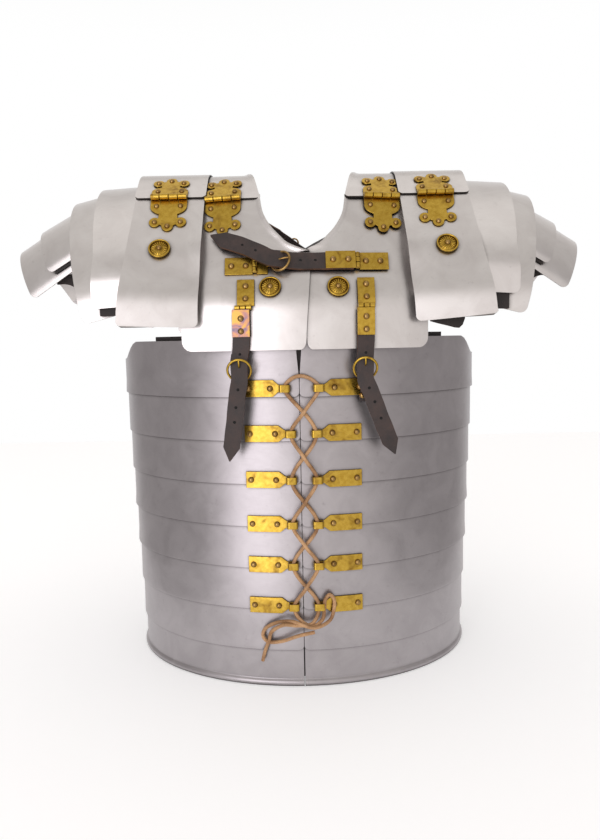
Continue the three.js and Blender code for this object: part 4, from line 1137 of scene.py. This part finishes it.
class CUIRASS_OT_straps(bpy.types.Operator):
    """Cuts the chest strap and the two hanging straps, with their punched holes"""
    bl_idname = "cuirass.straps"
    bl_label = "Straps"

    def execute(self, context):
        ring, up, rest = CHEST["ring_x"], CHEST["height"], RESTS_AT
        line = [(CHEST["hinge_x"] - 3.5, up, rest), (CHEST["leather_end"], up, rest),
                (ring + 17, up, rest + 0.3), (ring + 8, up, rest + 2), (ring, up, rest + 4.4),
                (ring - 9, up + 0.6, rest + 6), (ring - 18, up + 5, rest + 6),
                (ring - 34, up + 13, rest + 4.8),
                (ring - 51, up + 19.5, rest + 3.6), (ring - 63, up + 24.5, rest + 3)]
        made, middles, steps = strap_sheet(
            "chest_leather", line, lambda x, z, proud: COLLAR.point(x, COLLAR.along(z), proud))
        punch(middles, steps, (35, 48.5, 89, 102))
        settle(made, "leather", "chest_strap")
        for name in SIDES:
            spot = HANGING[name]
            leather, ring = spot["leather"], spot["ring"]
            front = -COLLAR.point(leather, COLLAR.to_bend / 2, RESTS_AT).y
            line = [(leather, HANG_BARREL - 3.5, front), (leather, HANG_BARREL - HANG_LEAF, front),
                    ((leather + ring) / 2, COLLAR_BOTTOM - 2, front), (ring, HANG_HEIGHT + RING, front + 1),
                    (ring, HANG_HEIGHT, HANG_DEPTH + STRAP_THICK / 2),
                    (ring, HANG_HEIGHT - RING, HANG_DEPTH + 2.3)]

            def place(x, height, depth, leather=leather):
                curved = COLLAR_DEPTH * COLLAR.bow * (x * x - leather * leather)
                return Vector((x, curved * smooth(COLLAR_BOTTOM - STRAP, COLLAR_BOTTOM, height) - depth,
                               height))

            made, middles, steps = strap_sheet(f"hanging_leather_{name}", line + spot["tail"], place)
            punch(middles, steps, (36, 68, 83, 98))
            settle(made, "leather", f"strap_{name}")
        return {"FINISHED"}


class CUIRASS_OT_strap_fittings(bpy.types.Operator):
    """Makes the hinged brass plates and the ring buckles of the straps"""
    bl_idname = "cuirass.strap_fittings"
    bl_label = "Strap fittings"

    def execute(self, context):
        brass, half = "polished_sheet_brass", FITTING / 2
        up, hinge, ring_x = CHEST["height"], CHEST["hinge_x"], CHEST["ring_x"]
        parts = [fitting_plate((CHEST["leather_end"], hinge - BARREL_GAP), (up - half, up + half),
                               OVER_LEATHER),
                 fitting_plate((hinge + BARREL_GAP, CHEST["plate_end"]), (up - half, up + half), CLEAR)]
        parts += split_barrel(hinge, up, FITTING, True)
        settle(joined("chest_hinge_plates", parts), "brass", "chest_hinge")
        for x, proud in ((26, OVER_LEATHER), (39.5, OVER_LEATHER), (55.5, CLEAR), (68.5, CLEAR)):
            rivet(COLLAR.frame(x, COLLAR.along(up), proud + BRASS), 0, 0)
        low = up - 2.5
        barrel = ring_x - 23
        inner = ring_x - RING - RING_WIRE
        parts = [fitting_plate((barrel - 27, barrel - BARREL_GAP), (low - half, low + half), CLEAR),
                 fitting_plate((barrel + BARREL_GAP, inner), (low - half, low + half), CLEAR),
                 fitting_plate((inner - 1, inner + 2.6), (up - 4, up + 4), CLEAR + 0.6)]
        parts += split_barrel(barrel, low, FITTING, True)
        lean = Matrix.Rotation(math.radians(-RING_TILT), 4, "Y")
        place = COLLAR.frame(ring_x, COLLAR.along(up - 1.5), 6) @ lean
        bronze = "cast_rivet_brass"
        parts += [wire_ring("ring", place, bronze, 9, 1.15),
                  tongue("tongue", place, (9, 1), (-RING + 4, 1), 1.6, bronze)]
        settle(joined("chest_ring_buckle", parts), "brass", "chest_buckle")
        for x in (barrel - 21, barrel - 8):
            rivet(COLLAR.frame(x, COLLAR.along(low), CLEAR + BRASS), 0, 0)
        for name in SIDES:
            spot = HANGING[name]
            plate, leather = spot["plate"], spot["leather"]
            coloured = "flame_coloured_brass" if name == "left" else brass
            parts = [fitting_plate((plate - half, plate + half),
                                   (HANG_BARREL + BARREL_GAP, HANG_BARREL + HANG_LEAF),
                                   CLEAR),
                     fitting_plate((leather - half, leather + half),
                                   (HANG_BARREL - HANG_LEAF, HANG_BARREL - BARREL_GAP),
                                   OVER_LEATHER, coloured)]
            parts += split_barrel((plate + leather) / 2, HANG_BARREL, FITTING, False)
            settle(joined(f"hanging_hinge_{name}", parts), "brass", f"strap_hinge_{name}")
            for x, z, proud in ((plate, 19, CLEAR), (plate, 8, CLEAR), (leather, -9, OVER_LEATHER),
                                (leather, -20, OVER_LEATHER)):
                rivet(COLLAR.frame(x, COLLAR.along(HANG_BARREL + z), proud + BRASS), 0, 0)
            lean = Matrix.Rotation(math.pi / 2 + math.radians(RING_TILT), 4, "X")
            place = Matrix.Translation((spot["ring"], -HANG_DEPTH, HANG_HEIGHT)) @ lean
            low = HANG_HEIGHT - RING
            turn = math.asin((spot["tab"] - GIRTH_X) / GIRTH_WIDTH)
            face = GIRTH_DEPTH * math.cos(turn) + 2.2 * CLEAR + BRASS
            tab = [[Vector((spot["tab"] + aside, -depth, height)) for aside in spread(2, -3, 3)]
                   for height, depth in ((low - 20, face), (low - 8, face), (low + 0.6, HANG_DEPTH - 2))]
            parts = [wire_ring("ring", place, brass, RING + 0.2, 1.1),
                     sheet("tab", tab, BRASS, ["dark_strap_leather"], 0.2),
                     tongue("tongue", place, (0, RING), (0, RING - 7), 1.2)]
            settle(joined(f"hanging_ring_{name}", parts), "brass", f"strap_buckle_{name}")
            rivet(Matrix.Translation((spot["tab"], -face, low - 15)) @ Matrix.Rotation(math.pi / 2, 4, "X"),
                  0, 0)
        return {"FINISHED"}


TIE_ABOVE_EDGE = (8, 7, 4.5, 3, 4, 4.5)
# Where the solids' loops begin, where their plates' necks end and where their plates end, from the seam
TIE_LOOP, TIE_NECK, TIE_PLATE_END = 6.5, 16.6, 49
# How far a loop's inner edge and its plate's outer end are from the seam: the first pair, then the others
TIE_REACH = {-1: ((8.3, 50.3), (3.6, 50.3)), 1: ((12.2, 59), (9.9, 55.8))}


def tie_loop(number, side):
    """A brass plate whose end narrows to a neck and is folded round into a loop for the lace."""
    height = hoop_bottom(number) + TIE_ABOVE_EDGE[number - 1]
    start, end = TIE_REACH[side][number > 1]

    def placed(x):
        """Where a place on the solid's plate comes to lie: the loop is shifted and the plate stretched."""
        if x < TIE_NECK:
            return start + x - TIE_LOOP
        return mix(start + TIE_NECK - TIE_LOOP, end, (x - TIE_NECK) / (TIE_PLATE_END - TIE_NECK))

    outline = [(TIE_PLATE_END, 7.5), (48.6, 7.5)] + [(x, 7.5) for x in spread(6, 46, 23)] + [
        (22, 7.45), (20.2, 5.9), (18.6, 4.5), (17.4, 3.5), (TIE_NECK, 3.25), (14.5, 3.25)]
    rows = [[on_girth(number, side * placed(x), height + share * half, CLEAR + BRASS) for x, half in outline]
            for share in spread(6, -1, 1)]
    brass = "polished_sheet_brass"
    parts = [sheet("tie_plate", rows, BRASS, [brass], 0.2)]
    left, right, depth, wall = start, start + 10, 7.6, 0.5
    corners = [(left + 2.2, 2.2, 180, 270), (right - 1.6, 1.6, 270, 360), (right - 2.2, depth - 2.2, 0, 90),
               (left + 2.2, depth - 2.2, 90, 180)]
    middle_line = []
    for x, y, turn_from, turn_to in corners:
        middle_line += arc(x, y, (2.2 if x != right - 1.6 else 1.6) - wall, turn_from, turn_to, 5)
    count = len(middle_line)
    points = []
    for k, (x, y) in enumerate(middle_line):
        (ax, ay), (bx, by) = middle_line[k - 1], middle_line[(k + 1) % count]
        out = Vector((by - ay, ax - bx)).normalized() * wall
        for reach, z in ((1, -3.25), (1, 3.25), (-1, 3.25), (-1, -3.25)):
            points.append(Vector((side * (x + out.x * reach) + GIRTH_X,
                                  -(GIRTH_DEPTH - STEP * (number - 1) + CLEAR + y + out.y * reach),
                                  height + z)))
    parts.append(eased(new_object("tie_band", points, grid_faces(count, 4, True, True), [brass]), 0.18))
    for x in (44.8, 24.6):
        over, on, under = (on_girth(number, side * placed(x), height, proud)
                           for proud in (3, CLEAR + BRASS, 0))
        RIVETS.append((on, (over - under).normalized(), 1.0))
    return parts


class CUIRASS_OT_tie_loops(bpy.types.Operator):
    """Makes the pairs of brass loops that the lace runs through"""
    bl_idname = "cuirass.tie_loops"
    bl_label = "Tie loops"

    def execute(self, context):
        for name, side in SIDES.items():
            for number in range(1, 7):
                made = joined(f"tie_{number}_{name}", tie_loop(number, side))
                settle(made, "brass", f"tie_loop_{number}_{name}")
        return {"FINISHED"}


class CUIRASS_OT_rosettes(bpy.types.Operator):
    """Sets a petalled rosette on each breastplate and guard"""
    bl_idname = "cuirass.rosettes"
    bl_label = "Rosettes"

    def execute(self, context):
        sizes = context.scene.cuirass_sizes
        marks = []
        for side in SIDES.values():
            for profile, x, height, proud in ((COLLAR, 30, 373, 0.75 if side < 0 else 0.75 - STEP),
                                              (GUARD, 128, 409, 0.75)):
                place = profile.frame(side * x, profile.along(height), proud)
                out = place.to_3x3() @ Vector((0, 0, 1))
                marks.append((place.translation, out, 1.0))
                RIVETS.append((place.translation + out * 1.2, out, 0.85))
        brass = bpy.data.materials["polished_sheet_brass"]
        made = set_on_points("rosettes", marks, rosette_tree(brass),
                             {"Radius": sizes.rosette_radius, "Petals": sizes.petals})
        settle(made, "brass")
        return {"FINISHED"}


class CUIRASS_OT_back(bpy.types.Operator):
    """Finishes the back: plates that join the hoops, and the strap that joins the shoulder plates"""
    bl_idname = "cuirass.back"
    bl_label = "Back fittings"

    def execute(self, context):
        brass = "polished_sheet_brass"
        half_length, half_height = 24, 6.5
        parts = []
        for number in range(1, 8):
            height, less = hoop_bottom(number) + 15, STEP * (number - 1)
            rows = []
            for z in spread(4, height - half_height, height + half_height):
                row = []
                for x in spread(10, -half_length, half_length):
                    turn = math.pi - math.asin(abs(x) / (GIRTH_WIDTH - less + 1.4))
                    row.append(hoop_point(number, math.copysign(1, x), turn, z, CLEAR + BRASS))
                rows.append(row)
            parts.append(sheet("joining_plate", rows, BRASS, [brass], 0.25))
            for x in (-19, -7, 7, 19):
                turn = math.pi - math.asin(abs(x) / (GIRTH_WIDTH - less))
                side = math.copysign(1, x)
                place = hoop_point(number, side, turn, height, CLEAR + BRASS)
                RIVETS.append((place, (hoop_point(number, side, turn, height, 3) - place).normalized(), 0.9))
        settle(joined("back_joining_plates", parts), "brass")

        def on_back(x, z, proud):
            return COLLAR.point(x, COLLAR.length - COLLAR.along(z), proud + STEP)

        line = [(-68, 468, RESTS_AT), (-52, 462, RESTS_AT), (-36, 454.5, RESTS_AT), (-20, 446, RESTS_AT),
                (-6, 436, RESTS_AT), (8, 428, RESTS_AT), (26, 422, RESTS_AT)]
        made = strap_sheet("back_leather", line, on_back)[0]
        settle(made, "leather")
        place = Matrix.Translation(on_back(-9, 444, RESTS_AT)) @ Matrix.Rotation(math.pi / 2, 4, "X")
        settle(wire_ring("back_buckle", place, "cast_rivet_brass", 5, 1), "brass")
        return {"FINISHED"}


def behind_hoops(z):
    """How far in from the first hoop's face a leather lies at a height, behind the hoops below it."""
    return STEP * (max(hoop_bottom(1) - z, 0) / HOOP_PITCH + 1.3) + PLATE


class CUIRASS_OT_inner_leathers(bpy.types.Operator):
    """Runs the inner leathers that carry the hoops and the lesser guards"""
    bl_idname = "cuirass.inner_leathers"
    bl_label = "Inner leathers"

    def execute(self, context):
        rows = [[hoop_point(1, 1, turn, z, -behind_hoops(z)) for turn in spread(6, -0.06, 0.06)]
                for z in spread(36, 8, 322)]
        settle(sheet("seam_leather", rows, LEATHER, INNER, 0.3), "leather")
        for name, side in SIDES.items():
            for end, turn in (("front", 0.76), ("back", math.pi - 0.76)):
                rows = []
                for z in spread(36, 8, 332):
                    wide = 0.075 * smooth(300, 320, z)
                    rows.append([hoop_point(1, side, turn + (a if end == "front" else -a), z,
                                            -behind_hoops(z))
                                 for a in spread(6, -0.085 - wide, 0.085)])
                settle(sheet(f"girth_leather_{end}_{name}", rows, LEATHER, INNER, 0.3), "leather")
            for end, way in (("front", 1), ("back", -1)):
                # An inner leather between the first and second lesser guards, set so that its dark lower edge
                # shows below the first as a painted gap shadow
                line = curve_through([(104, 139.6, 363), (150, 139.6, 362), (175, 139.6, 361),
                                      (183, 139.6, 361)], 5)
                rows = [[Vector((side * x, -way * y, z + up)) for up in spread(4, -10, 10)] for x, y,
                        z in line]
                settle(sheet(f"guard_shadow_leather_{end}_{name}", rows, LEATHER, INNER, 0.3), "leather")
                line = curve_through([(150, 132.6, 372), (170, 132.6, 371), (186, 131, 371), (197, 118, 374),
                                      (206, 96, 380), (213, 76, 383), (223, 66, 385), (246, 60, 384)], 5)
                rows = [[Vector((side * x, -way * y, z + up))
                         for up in spread(4, -11 + 13 * smooth(206, 240, x), 11)]
                        for x, y, z in line]
                settle(sheet(f"guard_leather_{end}_{name}", rows, LEATHER, INNER, 0.3), "leather")
                # A dark strip just behind the third lesser guard's bottom edge, that shows below it as a
                # painted shadow
                edge = lesser_rows(LESSER_GUARDS[2], side)[0 if end == "front" else -1]
                rows = [[spot + Vector((0, way * 1.7, up)) for up in spread(3, -3, 5)] for spot in edge]
                settle(sheet(f"guard_shadow_strip_{end}_{name}", rows, 1.2, INNER[:1], 0.2), "leather")
            if name == "right":
                ends = ((112, 341), (120, 338.7), (128, 336.7), (134, 335), (138, 334.6), (141, 337.5),
                        (143, 343))
                rows = [[Vector((x, -142, mix(low, 354, k))) for k in spread(4, 0, 1)] for x, low in ends]
                settle(sheet("guard_leather_end", rows, LEATHER, INNER, 0.3), "leather")
            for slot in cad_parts[f"guard_leather_{name}"].material_slots:
                slot.material = bpy.data.materials[INNER[0]]
        return {"FINISHED"}


class CUIRASS_OT_rivets(bpy.types.Operator):
    """Drives every rivet and darkens every punched hole"""
    bl_idname = "cuirass.rivets"
    bl_label = "Rivets and holes"

    def execute(self, context):
        sizes = context.scene.cuirass_sizes
        if not RIVETS or not HOLES:
            raise RuntimeError("the fittings and straps are made before their rivets and holes")
        brass = bpy.data.materials["cast_rivet_brass"]
        made = set_on_points("rivets", RIVETS, rivet_tree(brass),
                             {"Diameter": sizes.rivet_diameter, "Height": sizes.rivet_height})
        settle(made, "brass")
        shadow = bpy.data.materials["punched_hole_shadow"]
        made = set_on_points("punched_holes", HOLES, rivet_tree(shadow),
                             {"Diameter": 0.0027, "Height": 0.0005})
        settle(made, "leather")
        return {"FINISHED"}


class CUIRASS_OT_stage(bpy.types.Operator):
    """Sets the paper floor and the soft studio light"""
    bl_idname = "cuirass.stage"
    bl_label = "Stage"

    def execute(self, context):
        finish = context.scene.cuirass_finish
        plain_paper("studio_paper", tuple(finish.paper))
        corners = ((-250, -370, 0), (250, -370, 0), (1040, 1600, 0), (-1040, 1600, 0))
        floor = new_object("floor", corners, [(0, 1, 2, 3)], ["studio_paper"], False)
        world = bpy.data.worlds.new("studio")
        world.use_nodes = True
        tree = world.node_tree
        tree.nodes.clear()
        way = node(tree, "ShaderNodeTexCoord").outputs["Generated"]
        parts = node(tree, "ShaderNodeSeparateXYZ", {"Vector": way})
        aside = node(tree, "ShaderNodeMath", {0: parts.outputs["X"]}, operation="ABSOLUTE")
        sides = node(tree, "ShaderNodeMapRange", {"Value": aside, "From Min": 0.4, "From Max": 0.88},
                     interpolation_type="SMOOTHSTEP")
        walls = node(tree, "ShaderNodeMix", {"Factor": sides, "A": (1.0, 0.96, 0.935, 1.0),
                                             "B": (0.5, 0.48, 0.475, 1.0)},
                     data_type="RGBA")
        behind = node(tree, "ShaderNodeMapRange",
                      {"Value": parts.outputs["Y"], "From Min": 0.66, "From Max": 0.82},
                      interpolation_type="SMOOTHSTEP")
        backed = node(tree, "ShaderNodeMix", {"Factor": behind, "A": walls, "B": (1.0, 1.0, 1.0, 1.0)},
                      data_type="RGBA")
        above = node(tree, "ShaderNodeMapRange",
                     {"Value": parts.outputs["Z"], "From Min": 0.35, "From Max": 0.8},
                     interpolation_type="SMOOTHSTEP")
        tone = node(tree, "ShaderNodeMix", {"Factor": above, "A": backed, "B": (0.66, 0.635, 0.61, 1.0)},
                    data_type="RGBA")
        glow = node(tree, "ShaderNodeBackground", {"Color": tone, "Strength": 1.0})
        node(tree, "ShaderNodeOutputWorld", {"Surface": glow})
        context.scene.world = world
        for name, place, aim, wide, high, power in (
                ("key", (-0.98, -2.15, 0.3), (0, 0, 0.25), 1.25, 2.3, finish.key_light),
                ("ceiling", (0.0, 0.1, 2.3), (0, 0, 0.3), 2.2, 1.6, 4.0)):
            lamp = bpy.data.lights.new(name, "AREA")
            lamp.shape = "RECTANGLE"
            lamp.size, lamp.size_y, lamp.energy = wide, high, power
            lamp.color = (0.97, 0.94, 1.0) if name == "key" else (1.0, 0.98, 0.96)
            made = linked(name, lamp)
            made.location = place
            made.rotation_euler = (Vector(aim) - Vector(place)).to_track_quat("-Z", "Y").to_euler()
        context.scene.view_settings.view_transform = "Standard"
        return {"FINISHED"}


STEPS = (
    CUIRASS_OT_camera, CUIRASS_OT_lace, CUIRASS_OT_girth, CUIRASS_OT_collar, CUIRASS_OT_guards,
    CUIRASS_OT_hinges,
    CUIRASS_OT_straps, CUIRASS_OT_strap_fittings, CUIRASS_OT_tie_loops, CUIRASS_OT_rosettes, CUIRASS_OT_back,
    CUIRASS_OT_inner_leathers, CUIRASS_OT_rivets, CUIRASS_OT_stage,
)


class CUIRASS_PT_panel(bpy.types.Panel):
    """Lists the steps that build the cuirass, and its sizes and finish"""
    bl_idname = "CUIRASS_PT_panel"
    bl_label = "Segmented cuirass"
    bl_space_type = "VIEW_3D"
    bl_region_type = "UI"
    bl_category = "Cuirass"

    def draw(self, context):
        for group in (context.scene.cuirass_sizes, context.scene.cuirass_finish):
            for key in group.bl_rna.properties.keys():
                if key not in ("rna_type", "name"):
                    self.layout.prop(group, key)
        for step in STEPS:
            self.layout.operator(step.bl_idname)


CLASSES = (CUIRASS_PG_sizes, CUIRASS_PG_finish) + STEPS + (CUIRASS_PT_panel,)


def register():
    for item in CLASSES:
        bpy.utils.register_class(item)
    bpy.types.Scene.cuirass_sizes = bpy.props.PointerProperty(type=CUIRASS_PG_sizes)
    bpy.types.Scene.cuirass_finish = bpy.props.PointerProperty(type=CUIRASS_PG_finish)


def unregister():
    del bpy.types.Scene.cuirass_sizes
    del bpy.types.Scene.cuirass_finish
    for item in reversed(CLASSES):
        bpy.utils.unregister_class(item)


def main():
    register()
    make_materials(bpy.context.scene.cuirass_finish)
    for step in STEPS:
        group, name = step.bl_idname.split(".")
        getattr(getattr(bpy.ops, group), name)()


if __name__ == "__main__":
    main()
